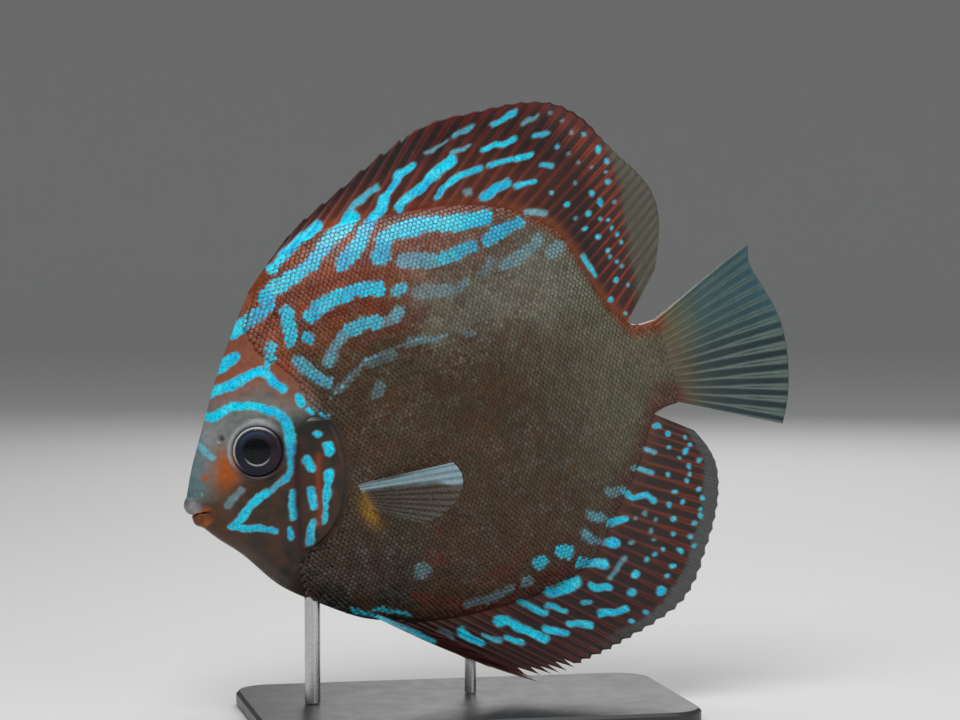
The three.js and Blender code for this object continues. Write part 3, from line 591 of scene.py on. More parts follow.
def body_colour(x, z, depth, side, gap=0.0):
    """The painted flesh at a place on the flank, and the strength of the blue there."""
    sheets = SHEETS[side]
    ragged_x, ragged_z = (0.22 * noise(x, z, 0.9, side + shift) for shift in (20, 22))
    seen_x, seen_z = x + LEAN_BACK * depth + ragged_x, z - LEAN_DOWN * depth + ragged_z
    soft = noise(x, z, 9, side) * 0.5 + noise(x, z, 4, side + 4) * 0.5
    under_back = read_off(BACK_LINE, x) - z
    over_belly = z - read_off(UNDER_LINE, x)
    behind = x - neck_at(z)
    head = fade(-1.5, 2.5, behind)
    base = layered(
        OLIVE,
        (GREY_OLIVE, smooth(84, 120, x + 4 * soft) * 0.8),
        (RUST, smooth(24, 42, z + 5 * soft) * fade(72, 106, x) * 0.95),
        (GREY_OLIVE, bump(29, 8, z + 4 * soft) * smooth(60, 74, x) * 0.6),
        # Painted sheen: pale grey high on the rear flank
        (PAINTED_SHEEN * 0.7, bump(33, 12, z + 4 * soft) * smooth(64, 76, x) * fade(100, 116, x) * 0.4),
        (RUST * 0.6, fade(1.5, 6, under_back + 1.5 * soft) * smooth(60, 70, x) * 0.9),
        (BRICK * 0.7, fade(1, 9, over_belly + 2 * soft) * smooth(46, 60, x) * 0.7),
        # The breast: dark, deepened with painted shade
        (SHADED_BREAST, fade(-27, -12, z + 3 * soft) * fade(38, 58, x)),
        (JAW * 0.8, fade(-42, -14, z + 5 * soft) * smooth(44, 56, x) * 0.6),
        (JAW, bump(0.2, 0.5, noise(x, z, 7, side + 24)) * 0.5 * fade(90, 110, x)),
        (skull_colour(x, z, soft), head),
        (AMBER, spot(x + 0.2 * (z + 14), z, (42.6, -13.4), (1.7, 3.8)) * 0.9),
        (JAW * 0.8, spot(x, z, (46, 4), (6, 13)) * smooth(-1, 2, behind) * 0.6),
    )
    base = base * (1 + 0.16 * soft + 0.1 * noise(x, z, 1.3, side + 6))[..., None]
    base = mixed(base, BRICK, sheets["red"].read(seen_x, seen_z) * 0.75)
    blue = np.maximum(
        sheets["blue"].read(seen_x, seen_z) * (1 - 0.9 * head * (z < 32)),
        sheets["head"].read(x + ragged_x, z + ragged_z),
    )
    return inked(base, x, z, blue, side + 8, 0.5, gap), blue


# Meshes

def placed(name, data):
    """A new object in the scene."""
    thing = bpy.data.objects.new(name, data)
    bpy.context.scene.collection.objects.link(thing)
    return thing


def make_mesh(name, points, faces, paint=None, **numbers):
    """A mesh object in the row frame from fish-frame points in millimetres."""
    mesh = bpy.data.meshes.new(name)
    faces = np.asarray(faces, np.int32)
    mesh.vertices.add(len(points))
    mesh.vertices.foreach_set("co", to_row(points).astype(np.float32).ravel())
    mesh.loops.add(faces.size)
    mesh.loops.foreach_set("vertex_index", faces.ravel())
    mesh.polygons.add(len(faces))
    mesh.polygons.foreach_set("loop_start", np.arange(0, faces.size, faces.shape[1], dtype=np.int32))
    mesh.polygons.foreach_set("use_smooth", np.full(len(faces), True))
    mesh.update(calc_edges=True)
    if paint is not None:
        layer = mesh.attributes.new("paint", "FLOAT_COLOR", "POINT")
        colours = np.column_stack([paint, np.ones(len(paint))])
        layer.data.foreach_set("color", colours.astype(np.float32).ravel())
    for key, values in numbers.items():
        layer = mesh.attributes.new(key, "FLOAT", "POINT")
        layer.data.foreach_set("value", np.asarray(values, np.float32))
    return placed(name, mesh)


def mend(piece, join=0.0):
    """Joins points closer together than join metres, and turns every face outward."""
    mesh = bmesh.new()
    mesh.from_mesh(piece.data)
    if join:
        bmesh.ops.remove_doubles(mesh, verts=mesh.verts, dist=join)
    bmesh.ops.recalc_face_normals(mesh, faces=mesh.faces)
    mesh.to_mesh(piece.data)
    mesh.free()


def dress(piece, material, slot, *nodes):
    """Gives a piece its material, and lets it stand for CAD nodes. The slot is not used."""
    piece.data.materials.append(material)
    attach(piece, "root")
    if nodes:
        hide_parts(*nodes)


def grid_faces(rows, columns, wrap=False, start=0):
    """Quads of a grid of points listed row by row. Wrap joins the last column to the first."""
    i, j = np.meshgrid(np.arange(rows - 1), np.arange(columns if wrap else columns - 1), indexing="ij")
    k = (j + 1) % columns
    quads = [i * columns + j, i * columns + k, (i + 1) * columns + k, (i + 1) * columns + j]
    return start + np.stack(quads, -1).reshape(-1, 4)


# Materials

STIPPLE_SIZE = 0.00055


class Finish:
    """A material whose Principled shader starts from the given constant values."""

    def __init__(self, name, **values):
        self.material = bpy.data.materials.new(name)
        self.material.use_nodes = True
        self.nodes = self.material.node_tree.nodes
        self.link = self.material.node_tree.links.new
        self.shader = self.nodes["Principled BSDF"].inputs
        for key, value in values.items():
            self.shader[key.replace("_", " ")].default_value = value

    def node(self, kind, **values):
        """A new shader node with the given constant inputs."""
        node = self.nodes.new("ShaderNode" + kind)
        for key, value in values.items():
            node.inputs[key.replace("_", " ")].default_value = value
        return node

    def noise(self, size, detail=3.0):
        """Noise in object space, with features about size metres across."""
        texture = self.node("TexNoise", Scale=1 / size, Detail=detail)
        self.link(self.node("TexCoord").outputs["Object"], texture.inputs["Vector"])
        return texture.outputs["Fac"]

    def ranged(self, source, low, high):
        """Spreads the middle half of a 0 to 1 value over low to high."""
        step = self.node("MapRange", From_Min=0.25, From_Max=0.75, To_Min=low, To_Max=high)
        self.link(source, step.inputs["Value"])
        return step.outputs["Result"]

    def attribute(self, name, output="Fac"):
        node = self.node("Attribute")
        node.attribute_name = name
        return node.outputs[output]

    def gloss(self, size, low, high, detail=3.0):
        """Roughness that wanders from low to high."""
        self.link(self.ranged(self.noise(size, detail), low, high), self.shader["Roughness"])

    def grain(self, size, detail, strength, depth):
        """A fine bump, depth metres high."""
        node = self.node("Bump", Strength=strength, Distance=depth)
        self.link(self.noise(size, detail), node.inputs["Height"])
        self.link(node.outputs["Normal"], self.shader["Normal"])

    def painted(self, size, low, high, stipple=0.0):
        """Base colour from the painted attribute, mottled by noise. Stipple breaks up the blue marks."""
        shade = self.ranged(self.noise(size), low, high)
        if stipple:
            flecks = self.node("Math")
            flecks.operation = "MULTIPLY_ADD"
            spread = self.ranged(self.noise(STIPPLE_SIZE, 2), -stipple, stipple * 0.8)
            for source, socket in zip((spread, self.attribute("blue"), shade), flecks.inputs):
                self.link(source, socket)
            shade = flecks.outputs["Value"]
        scale = self.node("VectorMath")
        scale.operation = "SCALE"
        self.link(self.attribute("paint", "Color"), scale.inputs[0])
        self.link(shade, scale.inputs["Scale"])
        self.link(scale.outputs["Vector"], self.shader["Base Color"])


def skin_material(name, rough_low, rough_high, grain, depth, stipple):
    """Wet skin: painted colour, uneven gloss and a fine grain."""
    finish = Finish(name, Coat_Weight=0.12, Coat_Roughness=0.16, Specular_IOR_Level=0.35)
    finish.painted(0.0012, 0.82, 1.18, stipple)
    finish.gloss(0.003, rough_low, rough_high)
    finish.grain(grain, 4, 0.5, depth)
    return finish.material


def fin_material():
    """A thin fin: painted colour, with membranes that let light through."""
    finish = Finish("fin_membrane", Coat_Weight=0.08, Coat_Roughness=0.2, Specular_IOR_Level=0.35)
    finish.painted(0.001, 0.84, 1.16, 0.5)
    finish.link(finish.attribute("cover"), finish.shader["Alpha"])
    finish.gloss(0.002, 0.34, 0.5)
    finish.grain(0.0004, 3, 0.35, 0.00004)
    return finish.material


SKIN = skin_material("wet_skin", 0.3, 0.46, 0.00035, 0.00006, 0.5)
SCALE = skin_material("scales", 0.24, 0.42, 0.0002, 0.00003, 0.4)
FIN = fin_material()


# The head's forms

def loop_distance(points, x, z):
    """Distance inside a smooth closed loop, negative outside it."""
    loop = along(points + points[:1], np.linspace(0, 1, 4 * len(points)))
    inside = np.zeros(x.shape, bool)
    for (ax, az), (bx, bz) in zip(loop[:-1], loop[1:]):
        crosses = (az > z) != (bz > z)
        slope = (bx - ax) / (bz - az) if bz != az else 0
        inside ^= crosses & (x < ax + (z - az) * slope)
    return np.where(inside, 1, -1) * distance_to(loop, x, z)


def surface_frame(x, z, side):
    """A place on the flank and the direction that the flank faces there."""
    step = 0.5
    slope_x = (flank_at(x + step, z) - flank_at(x - step, z)) / (2 * step)
    slope_z = (flank_at(x, z + step) - flank_at(x, z - step)) / (2 * step)
    normal = np.stack([-slope_x, np.broadcast_to(side, np.shape(slope_x)), -slope_z], -1)
    origin = np.stack(np.broadcast_arrays(x, side * flank_at(x, z), z), -1)
    return origin, normal / np.linalg.norm(normal, axis=-1, keepdims=True)


def gape(x, z):
    """Height above the line of the mouth, and half the height of its opening there."""
    return z + 2.0 + 0.06 * x, 0.1 + 0.45 * fade(-1, 4.4, x)


def relief(points, side):
    """How far the head's forms stand out from the smooth body, in millimetres."""
    x, z = points[:, 0], points[:, 2]
    lift = np.zeros(len(x))
    near = (x < HEAD_END) & (points[:, 1] * side > -0.5)
    x, z = x[near], z[near]
    origin, normal = surface_frame(*EYE_AT, side)
    from_eye = points[near] - origin
    from_eye = np.linalg.norm(from_eye - (from_eye @ normal)[:, None] * normal, axis=1)
    from_nostril = distance_to([NOSTRIL_AT], x, z)
    height, opening = gape(x, z)
    cover = loop_distance(GILL_COVER, x, z)
    free_edge = 0.35 + 0.65 * smooth(2, 5, x - np.interp(z, *COVER_FRONT))
    lift[near] = (
        free_edge * (0.3 * smooth(-0.1, 0.6, cover) - 0.4 * bump(-0.4, 0.34, cover))
        + 0.5 * bump(7.05, 0.62, from_eye) - 0.25 * bump(8.3, 0.5, from_eye)
        - SOCKET_DEPTH * fade(5.75, 6.3, from_eye)
        + 0.2 * bump(1.25, 0.4, from_nostril) - NOSTRIL_DEPTH * bump(0, 0.72, from_nostril)
        - MOUTH_DEPTH * fade(3.9, 4.9, x) * fade(0.5 * opening, 1.3 * opening + 0.15, np.abs(height))
        - 0.28 * crease(JAW_CREASE, 0.4, x, z) - 0.22 * crease(THROAT_CREASE, 0.4, x, z)
        + 0.35 * spot(x, z, (18.5, -6), (5, 5)) + 0.28 * spot(x, z, (20, 18.2), (7, 2))
    )
    return lift


def nearest_on(line, points):
    """Way from the nearest place on a line to each point, its length, and that place."""
    line = along(line, np.linspace(0, 1, 90))
    gaps = points[:, None] - line[None]
    apart = np.linalg.norm(gaps, axis=2)
    nearest = np.argmin(apart, 1)
    here = np.arange(len(points))
    return gaps[here, nearest], apart[here, nearest], line[nearest]


def swell_lips(points):
    """Pushes the flesh out round the line of each lip, so that each lip is a soft roll."""
    near = np.flatnonzero(points[:, 0] < SNOUT_END + 1)
    flesh = points[near]
    for line, thickness in ((UPPER_LIP, UPPER_LIP_RADIUS), (LOWER_LIP, LOWER_LIP_RADIUS)):
        away, distance, nearest = nearest_on(line, flesh)
        radius = thickness * (1 - 0.6 * smooth(1.6, 4.3, nearest[:, 0]))
        wanted = radius + distance * (1 - radius / LIP_REACH)
        push = np.where(distance < LIP_REACH, wanted - distance, 0)
        flesh = flesh + away / np.maximum(distance, 1e-6)[:, None] * push[:, None]
    points[near] = flesh
    return points


def snout_colour(points, paint):
    """A pale upper lip, partly a painted highlight, and a warm lower one, with a few blue flecks above them.
    """
    x, z = points[:, 0], points[:, 2]
    height, opening = gape(x, z)
    pale = fade(1.3, 2.6, nearest_on(UPPER_LIP, points)[1]) * fade(1.6, 4.4, x)
    pale = pale * (1 - 0.8 * smooth(0.2, 1.8, z + 0.6 * noise(x, z, 1.2, 37)))
    warm = fade(1.4, 2.3, nearest_on(LOWER_LIP, points)[1])
    lip = layered(
        paint,
        (JAW * 1.5, warm * 0.9),
        (ORANGE, warm * spot(x, z, (3.4, -4.6), (1.3, 1.3)) * 0.8),
        # The pale upper lip, partly a painted highlight
        (PALE_LIP_HIGHLIGHT, pale * smooth(-0.2, 0.7, height - opening) * 0.9),
        (ORANGE * 1.2, bump(0.7, 0.6, height) * smooth(0.6, 1.6, x) * fade(4.2, 5.4, x) * 0.7),
        (PALE_BLUE, smooth(0.2, 0.7, noise(x, z, 0.7, 36)) * bump(2.6, 1.2, z) * fade(4, 6, x) * 0.5),
    )
    return lip * (1 + 0.12 * noise(x, z, 0.5, 35) * np.maximum(pale, warm))[:, None]


def cheek_colour(x, z, paint):
    """The gill cover's slits and stripe, painted shade along the cover's edge, at its upper corner and in the
    nostril, and the ring round the eye, a painted highlight on its upper front side and painted shade on the
    rest.
    """
    from_eye = distance_to([EYE_AT], x, z)
    lit = smooth(-0.3, 0.8, (z - EYE_AT[1] - 0.5 * (x - EYE_AT[0])) / EYE_RADIUS)
    return layered(
        paint,
        # Painted shade in the groove along the gill cover's edge
        (SOOT, 0.4 * bump(-0.35, 0.35, loop_distance(GILL_COVER, x, z)) * smooth(30, 34, x)),
        (MAROON * 0.6, 0.8 * crease(COVER_SLIT, 1.3, x, z)),
        (SOOT, 0.9 * crease(COVER_SLIT, 0.7, x, z)),
        # Painted shade at the cover's upper corner, in the same groove
        (SOOT, 0.9 * crease(COVER_CORNER, 0.8, x, z)),
        (COVER_RUST, 0.8 * crease(COVER_STRIPE, 0.8, x, z)),
        # Painted shade in the nostril's pit
        (SOOT, 0.8 * bump(0, 0.7, distance_to([NOSTRIL_AT], x, z))),
        # Painted shade and painted highlight on the ring round the eye
        (LID_SHADE, 0.8 * bump(6.7, 0.55, from_eye) * (1 - lit)),
        (LID_HIGHLIGHT, 0.85 * bump(6.8, 0.55, from_eye) * lit),
    )


def head_colour(points, paint):
    """Colours that follow the head's forms."""
    paint = paint.copy()
    x, z = points[:, 0], points[:, 2]
    height, opening = gape(x, z)
    snout = x < SNOUT_END
    paint[snout] = snout_colour(points[snout], paint[snout])
    inside = fade(4.2, 5.2, x) * fade(0.7 * opening, 1.2 * opening + 0.15, np.abs(height))
    paint = mixed(paint, MOUTH_RED, inside)
    cheek = (x > SNOUT_END) & (x < HEAD_END)
    paint[cheek] = cheek_colour(x[cheek], z[cheek], paint[cheek])
    return paint


# The skin

SNOUT_ROUNDING = 14
RIM_STEPS = 7
NEAR_RINGS = 24
NEAR_SPACING = 0.25
FAR_RINGS = 124
FAIRING_PASSES = 18
COAT_DEPTH = 0.12


def outline_samples():
    """Outline points, closer together round the head."""
    steps = np.linalg.norm(np.diff(OUTLINE[:, :2], axis=0), axis=1)
    spacing = 0.26 + 0.1 * smooth(6, 10, OUTLINE[1:, 0]) + 0.45 * smooth(38, 52, OUTLINE[1:, 0])
    reach = np.concatenate([[0], np.cumsum(steps / spacing)])
    places = np.linspace(0, reach[-1], int(reach[-1]), endpoint=False)
    outline = np.column_stack([np.interp(places, reach, column) for column in OUTLINE.T])
    for _ in range(SNOUT_ROUNDING):
        middle = 0.5 * (np.roll(outline, 1, 0) + np.roll(outline, -1, 0))
        outline += (middle - outline) * (0.5 * fade(3, 5, outline[:, 0]))[:, None]
    return outline


def flank_rings(outline, side):
    """Rings of points from the rim of the body to the middle of one flank."""
    outward = outline[:, :2] - BODY_CENTRE
    reach = np.linalg.norm(outward, axis=1)
    outward = outward / reach[:, None]
    rim, roundness = outline[:, 2], outline[:, 4]
    rings = []
    for turn in np.linspace(0, math.pi / 2, RIM_STEPS, endpoint=False):
        place = BODY_CENTRE + outward * (reach - roundness * (1 - math.cos(turn)))[:, None]
        rings.append(np.column_stack([place[:, 0], side * rim * math.sin(turn), place[:, 1]]))
    length = reach - roundness
    near = NEAR_RINGS * NEAR_SPACING
    inward = [np.full(len(reach), step * NEAR_SPACING) for step in range(NEAR_RINGS)]
    inward += [near + (length - near) * share for share in np.linspace(0, 1, FAR_RINGS) ** 1.25]
    for step, distance in enumerate(inward):
        fraction = 1 - distance / length
        place = BODY_CENTRE + outward * (length * fraction)[:, None]
        full = BODY_CENTRE + outward * (reach * fraction)[:, None]
        depth = rim if step == 0 else flank_at(full[:, 0], full[:, 1])
        sunk = COAT_DEPTH * smooth(0, 1.5, distance) * smooth(22, 26, place[:, 0])
        rings.append(np.column_stack([place[:, 0], side * (depth - sunk), place[:, 1]]))
    return np.array(rings)


def fair_rim(rings, rim):
    """Eases the bend where the two flanks meet round the rim."""
    part = rings[rim - RIM_STEPS - NEAR_RINGS:rim + RIM_STEPS + NEAR_RINGS + 1]
    for _ in range(FAIRING_PASSES):
        part[1:-1] += 0.5 * (0.5 * (part[:-2] + part[2:]) - part[1:-1])


def build_skin():
    """One closed skin for the head, gill covers, torso and tail stalk."""
    outline = outline_samples()
    left, right = flank_rings(outline, -1)[::-1], flank_rings(outline, 1)[1:]
    rings = np.concatenate([left, right])
    fair_rim(rings, len(left) - 1)
    normal = np.cross(np.gradient(rings, axis=0), np.roll(rings, -1, 1) - np.roll(rings, 1, 1))
    normal /= np.linalg.norm(normal, axis=-1, keepdims=True) + 1e-9
    facing_out = np.sum(normal[..., 1] * rings[..., 1]) > 0
    normal = (normal if facing_out else -normal).reshape(-1, 3)
    points = rings.reshape(-1, 3)
    shape, paint, blue = points.copy(), np.zeros(points.shape), np.zeros(len(points))
    for side, half in ((-1, slice(0, left.size // 3)), (1, slice(left.size // 3, None))):
        place = points[half]
        shape[half] += normal[half] * relief(place, side)[:, None]
        flesh, blue[half] = body_colour(place[:, 0], place[:, 2], np.abs(place[:, 1]), side)
        paint[half] = head_colour(place, flesh)
    faces = grid_faces(len(rings), len(outline), wrap=True)
    faces = faces if facing_out else faces[:, ::-1]
    skin = make_mesh("fish_skin", swell_lips(shape), faces, paint, blue=blue)
    mend(skin, join=1e-6)
    dress(skin, SKIN, "skin", "head", "gill_cover_left", "gill_cover_right", "torso", "tail_stalk")


# Scales

SCALE_STEP = (1.2, 0.96)
SCALE_SIZE = (1.75, 0.88)
SCALE_ACROSS = np.linspace(-1, 1, 5)
# Rows of a plate as (share of its length, share of its width, height)
SCALE_ROWS = [(0, 0.7, -0.12), (0.42, 0.98, 0.02), (0.76, 0.88, 0.06), (1, 0.36, 0.09)]
ROW_SHARE = np.repeat([row[0] for row in SCALE_ROWS], len(SCALE_ACROSS))
OFF_MIDDLE = np.tile(np.abs(SCALE_ACROSS), len(SCALE_ROWS))
COAT_LENGTH = (22, 129.4)
COAT_HEIGHT = (-52, 62)
COAT_END = 128.4
COAT_SPLIT = 76
MARGIN_CLEAR = 0.9
PATCH = 0.003


def behind_head(x, z):
    """Distance behind the front edge of the scaly flesh."""
    start = neck_at(z) - 2 - 5 * smooth(24, 34, z)
    return np.minimum(x - start, -loop_distance(GILL_COVER, x, z) - 1.1)


def scale_places(low, high):
    """Roots of the scales between two lengths, in staggered rows from the neck to the tail fin."""
    places = []
    for number, z in enumerate(np.arange(*COAT_HEIGHT, SCALE_STEP[1])):
        x = np.arange(*COAT_LENGTH, SCALE_STEP[0]) + (number % 2) * SCALE_STEP[0] / 2
        places.append(np.column_stack([x, np.full(len(x), z)]))
    places = np.vstack(places)
    places += random.normal(0, 0.05, places.shape)
    x, z = places.T
    on_body = (z < read_off(BACK_LINE, x) - MARGIN_CLEAR) & (z > read_off(UNDER_LINE, x) + MARGIN_CLEAR)
    return places[on_body & (behind_head(x, z) > 0) & (x >= low) & (x < high)].T


def plate_faces():
    """Triangles of one plate: its crowned top and its flat underside."""
    wide = len(SCALE_ACROSS)
    top = grid_faces(len(SCALE_ROWS), wide)
    last = (len(SCALE_ROWS) - 1) * wide
    edge = [
        *range(wide), *range(2 * wide - 1, last, wide), *range(last + wide - 1, last - 1, -1),
        *range(last - wide, 0, -wide),
    ]
    under = [[edge[0], edge[k + 1], edge[k]] for k in range(1, len(edge) - 1)]
    return np.vstack([top[:, [0, 1, 2]], top[:, [0, 2, 3]], under])


def plate_points(x, z, side):
    """Corners of every plate, with its root under the skin and its tip lying towards the tail."""
    origin, normal = surface_frame(x, z, side)
    origin = origin - normal * COAT_DEPTH
    turn = -0.004 * (z - 4) * smooth(60, 118, x) + 0.03 * noise(x, z, 12, side)
    lie = np.column_stack([np.cos(turn), np.zeros(len(x)), np.sin(turn)])
    lie -= np.sum(lie * normal, 1)[:, None] * normal
    lie /= np.linalg.norm(lie, axis=1)[:, None]
    upward = np.cross(lie, normal) * side
    grown = 0.3 + 0.7 * smooth(0, 6, behind_head(x, z))
    size = (1 + random.normal(0, 0.035, len(x))) * (0.7 + 0.3 * grown)
    corners = []
    for share, width, height in SCALE_ROWS:
        for across in SCALE_ACROSS:
            back = SCALE_SIZE[0] * (share - 0.12 * share * across ** 2) * size
            out = SCALE_SIZE[1] * width * across * size
            rise = height + 0.04 * (1 - across ** 2) * (1 - 0.4 * share)
            rise = rise * grown if rise > 0 else np.full(len(x), rise)
            corners.append(origin + lie * back[:, None] + upward * out[:, None] + normal * rise[:, None])
    return np.stack(corners, 1)


def plate_colour(points, x, z, side):
    """The body's colour with a tone for each plate, painted shade at its root where the plate before overlaps
    it, darker sides, and a painted silvery sheen on some, stronger high on the rear flank.
    """
    seen = (0.35 * points + 0.65 * points.mean(1)[:, None]).reshape(-1, 3)
    gap = np.clip(0.85 * OFF_MIDDLE ** 1.8 + 0.5 * fade(0, 0.4, ROW_SHARE), 0, 0.9)
    paint, blue = body_colour(seen[:, 0], seen[:, 2], np.abs(seen[:, 1]), side, np.tile(gap, len(x)))
    tone = 1 + random.normal(0, 0.1, (len(x), 1))
    # Painted shade: each plate darker at its root, under the plate before, and towards its sides
    shade = (0.72 + 0.36 * ROW_SHARE - 0.16 * OFF_MIDDLE ** 2)[None] * tone
    paint = paint * (1 - (1 - shade.ravel()) * (1 - 0.5 * blue))[:, None]
    # Painted sheen: silvery on the centres of some plates, more where the light falls high on the rear
    lit = 0.1 + 0.2 * smooth(10, 26, z) * smooth(56, 74, x) + 0.1 * noise(x, z, 3, side + 26)
    fleck = np.clip(random.normal(1, 0.6, len(x)), 0, 2.2) * np.clip(lit, 0, 1)
    centre = bump(0.7, 0.3, ROW_SHARE) * (1 - OFF_MIDDLE)
    return mixed(paint, PAINTED_SHEEN, (fleck[:, None] * centre[None]).ravel() * (1 - blue)), blue


def add_bake_map(coat, faces, x, z, side):
    """Gives each plate a small patch at its root's place on the unrolled flank."""
    u_root = (x - Sheet.LOW[0]) / Sheet.SIZE[0] * 0.48 + (0.51 if side > 0 else 0.01)
    v_root = (z - Sheet.LOW[1]) / Sheet.SIZE[1] * 0.96 + 0.02
    u = u_root[:, None] + PATCH * (ROW_SHARE - 0.5)
    v = v_root[:, None] + PATCH * 0.5 * np.tile(SCALE_ACROSS, len(SCALE_ROWS))
    places = np.stack([u, v], -1).reshape(-1, 2)[faces.ravel()]
    coat.data.uv_layers.new(name="OFBake").data.foreach_set("uv", places.astype(np.float32).ravel())


def build_scales(name, side, low, high):
    """Overlapping scales, each a thin crowned plate with its root under the skin."""
    x, z = scale_places(low, high)
    points = plate_points(x, z, side)
    faces = plate_faces() + (np.arange(len(x)) * points.shape[1])[:, None, None]
    faces = faces.reshape(-1, 3)[:, ::-side]
    paint, blue = plate_colour(points, x, z, side)
    coat = make_mesh(name, points.reshape(-1, 3), faces, paint, blue=blue)
    add_bake_map(coat, faces, x, z, side)
    dress(coat, SCALE, "skin")


# Fins

DORSAL_FIN = {"spines": 9, "rays": 29, "root": 1.0, "edge": 0.13, "ridge": 0.17, "nick": 2.4, "sway": 1.1}
ANAL_FIN = {"spines": 9, "rays": 27, "root": 1.0, "edge": 0.13, "ridge": 0.17, "nick": 4.6, "sway": -1.1}
CAUDAL_FIN = {"spines": 0, "rays": 16, "root": 1.85, "edge": 0.13, "ridge": 0.2, "nick": 0.5, "sway": 1.2}
PELVIC_FIN = {"spines": 0, "rays": 7, "root": 0.75, "edge": 0.13, "ridge": 0.17, "nick": 1.2, "bow": 2}
PECTORAL_FIN = {"spines": 0, "rays": 11, "root": 0.8, "edge": 0.12, "ridge": 0.14, "nick": 0.4}
# The dorsal fin's clear rear edge: heights, and the x at each of them
DORSAL_CLEAR_EDGE = [20, 25, 31.6, 38, 45, 53, 60, 68], [126, 126.4, 127.4, 127.8, 130, 129.4, 128, 126]
PER_RAY = 12
FIN_ROWS = 56
ROOT_SUNK = 1.2
MARGIN_INSET = 0.995


def ray_profile(ray, share, spines):
    """1 on a ray and 0 on the membrane. Soft rays branch twice towards the margin."""
    offset = np.abs(ray - np.round(ray))
    soft = ray > spines - 0.5
    first = np.where(soft, 0.14 * smooth(0.38, 0.72, share), 0)
    second = np.where(soft, 0.07 * smooth(0.68, 1, share), 0)
    nearest = np.minimum(np.abs(offset - first - second), np.abs(offset - first + second))
    return bump(0, np.where(soft, 0.15 - 0.08 * share, 0.2 - 0.09 * share), nearest)


def fin_grid(roots, margin, fin):
    """Places on the middle of a fin's blade, one row of points from root to margin for each column.

    ray counts along the fin, share runs along it from 0 to 1, out runs from the root to the
    margin, height is the distance from the root, and profile is 1 on a ray.
    """
    rays = fin["spines"] + fin["rays"]
    share = np.linspace(0, 1, (rays - 1) * PER_RAY + 1)[:, None]
    ray = share * (rays - 1)
    root, tip = along(roots, share[:, 0]), along(margin, share[:, 0])
    length = np.hypot(*(tip - root)[:, [0, 1]].T)[:, None]
    between = 2 * np.abs(ray - np.round(ray))
    nick = np.where(ray < fin["spines"] - 0.5, fin["nick"], fin["nick"] * SOFT_NICK * (1 - share))
    reach = MARGIN_INSET - np.minimum(nick, 0.3 * length) / length * between ** 0.8
    out = -ROOT_SUNK / length + (reach + ROOT_SUNK / length) * np.linspace(0, 1, FIN_ROWS)[None]
    places = root[:, None] + (tip - root)[:, None] * out[..., None]
    x, z = places[..., 0], places[..., 1] - fin.get("bow", 0) * 4 * out * (1 - out)
    y = places[..., 2] if places.shape[-1] > 2 else 0
    y = y + fin.get("sway", 0) * np.sin(x / SWAY_LENGTH * 2 * math.pi) * (length * out / SWAY_REACH) ** 2
    ray, share = ray + 0 * out, share + 0 * out
    profile = ray_profile(ray, out, fin["spines"])
    return SimpleNamespace(x=x, y=y, z=z, ray=ray, share=share, out=out, height=length * out, profile=profile)


def build_fin(node, slot, roots, margin, fin, colouring):
    """A thin closed blade with raised rays, coloured by its own function."""
    at = fin_grid(roots, margin, fin)
    taper = np.clip(1 - at.out, 0, 1)
    joints = 1 + 0.12 * np.sin(at.height * 5.2) * at.profile
    thickness = fin["edge"] + (fin["root"] - fin["edge"]) * taper ** 2.2
    thickness = thickness + fin["ridge"] * (0.35 + 0.65 * taper) * at.profile * joints
    thickness = thickness * (1 - 0.6 * smooth(0.97, 1, np.linspace(0, 1, FIN_ROWS)[None]))
    sheets = [np.stack([at.x, at.y + side * thickness, at.z], -1).reshape(-1, 3) for side in (-1, 1)]
    columns, total = len(at.x), at.x.size
    front, back = grid_faces(columns, FIN_ROWS), grid_faces(columns, FIN_ROWS, start=total)[:, ::-1]
    index = np.arange(total).reshape(columns, FIN_ROWS)
    border = np.concatenate([index[:, 0], index[-1, 1:], index[-2::-1, -1], index[0, -2:0:-1]])
    after = np.roll(border, -1)
    rim = np.column_stack([after, border, border + total, after + total])
    colours = zip(*(colouring(at, side) for side in (-1, 1)))
    paint, cover, blue = (np.concatenate(values) for values in colours)
    blade = make_mesh(
        f"{node}_blade", np.concatenate(sheets), np.vstack([front, back, rim]),
        paint.reshape(-1, 3), cover=cover.ravel(), blue=blue.ravel(),
    )
    mend(blade)
    dress(blade, FIN, slot, node)


def with_blue(paint, x, z, side, sheet="blue"):
    """A fin's paint with its blue marks, and their strength."""
    blue = SHEETS[side][sheet].read(x, z)
    return inked(paint, x, z, blue, side + 12, 0.35), blue


def root_flesh(at, side, depth=3.5):
    """The body's colour and its weight near a fin's root, as a layer."""
    return body_colour(at.x, at.z, np.zeros(at.x.shape), side)[0], fade(0.3, depth, at.height)


def striped(colours, at, strength=1.0):
    """The membrane's colour with rays of their own colour."""
    membrane, rays = colours
    return mixed(membrane, rays, strength * at.profile)


def dorsal_colour(at, side):
    soft = noise(at.x, at.z, 5, side + 14)
    beyond = at.x - np.interp(at.z, *DORSAL_CLEAR_EDGE) + 0.8 * soft
    clear = smooth(-0.6, 2.4, beyond) * smooth(8, 16, at.z)
    band = smooth(0.86, 0.93, at.out) * smooth(0.16, 0.4, at.share) * (1 - clear)
    paint = layered(
        striped(DORSAL_DARK, at, 0.9),
        (striped(DORSAL_FRONT, at), fade(0.2, 0.8, at.out + 0.15 * soft) * fade(0.45, 0.75, at.share) * 0.8),
        (striped(DORSAL_REAR, at), smooth(-11, -4, beyond) * smooth(6, 14, at.z) * 0.85),
        (striped(DORSAL_BAND, at), band * 0.9),
        (SOOT, smooth(0.965, 0.985, at.out) * (1 - clear) * 0.7),
        (striped(DORSAL_CLEAR, at), clear),
        root_flesh(at, side),
    )
    paint, blue = with_blue(paint, at.x, at.z, side)
    return paint, 1 - 0.3 * clear * (1 - 0.7 * at.profile) * (1 - blue), blue


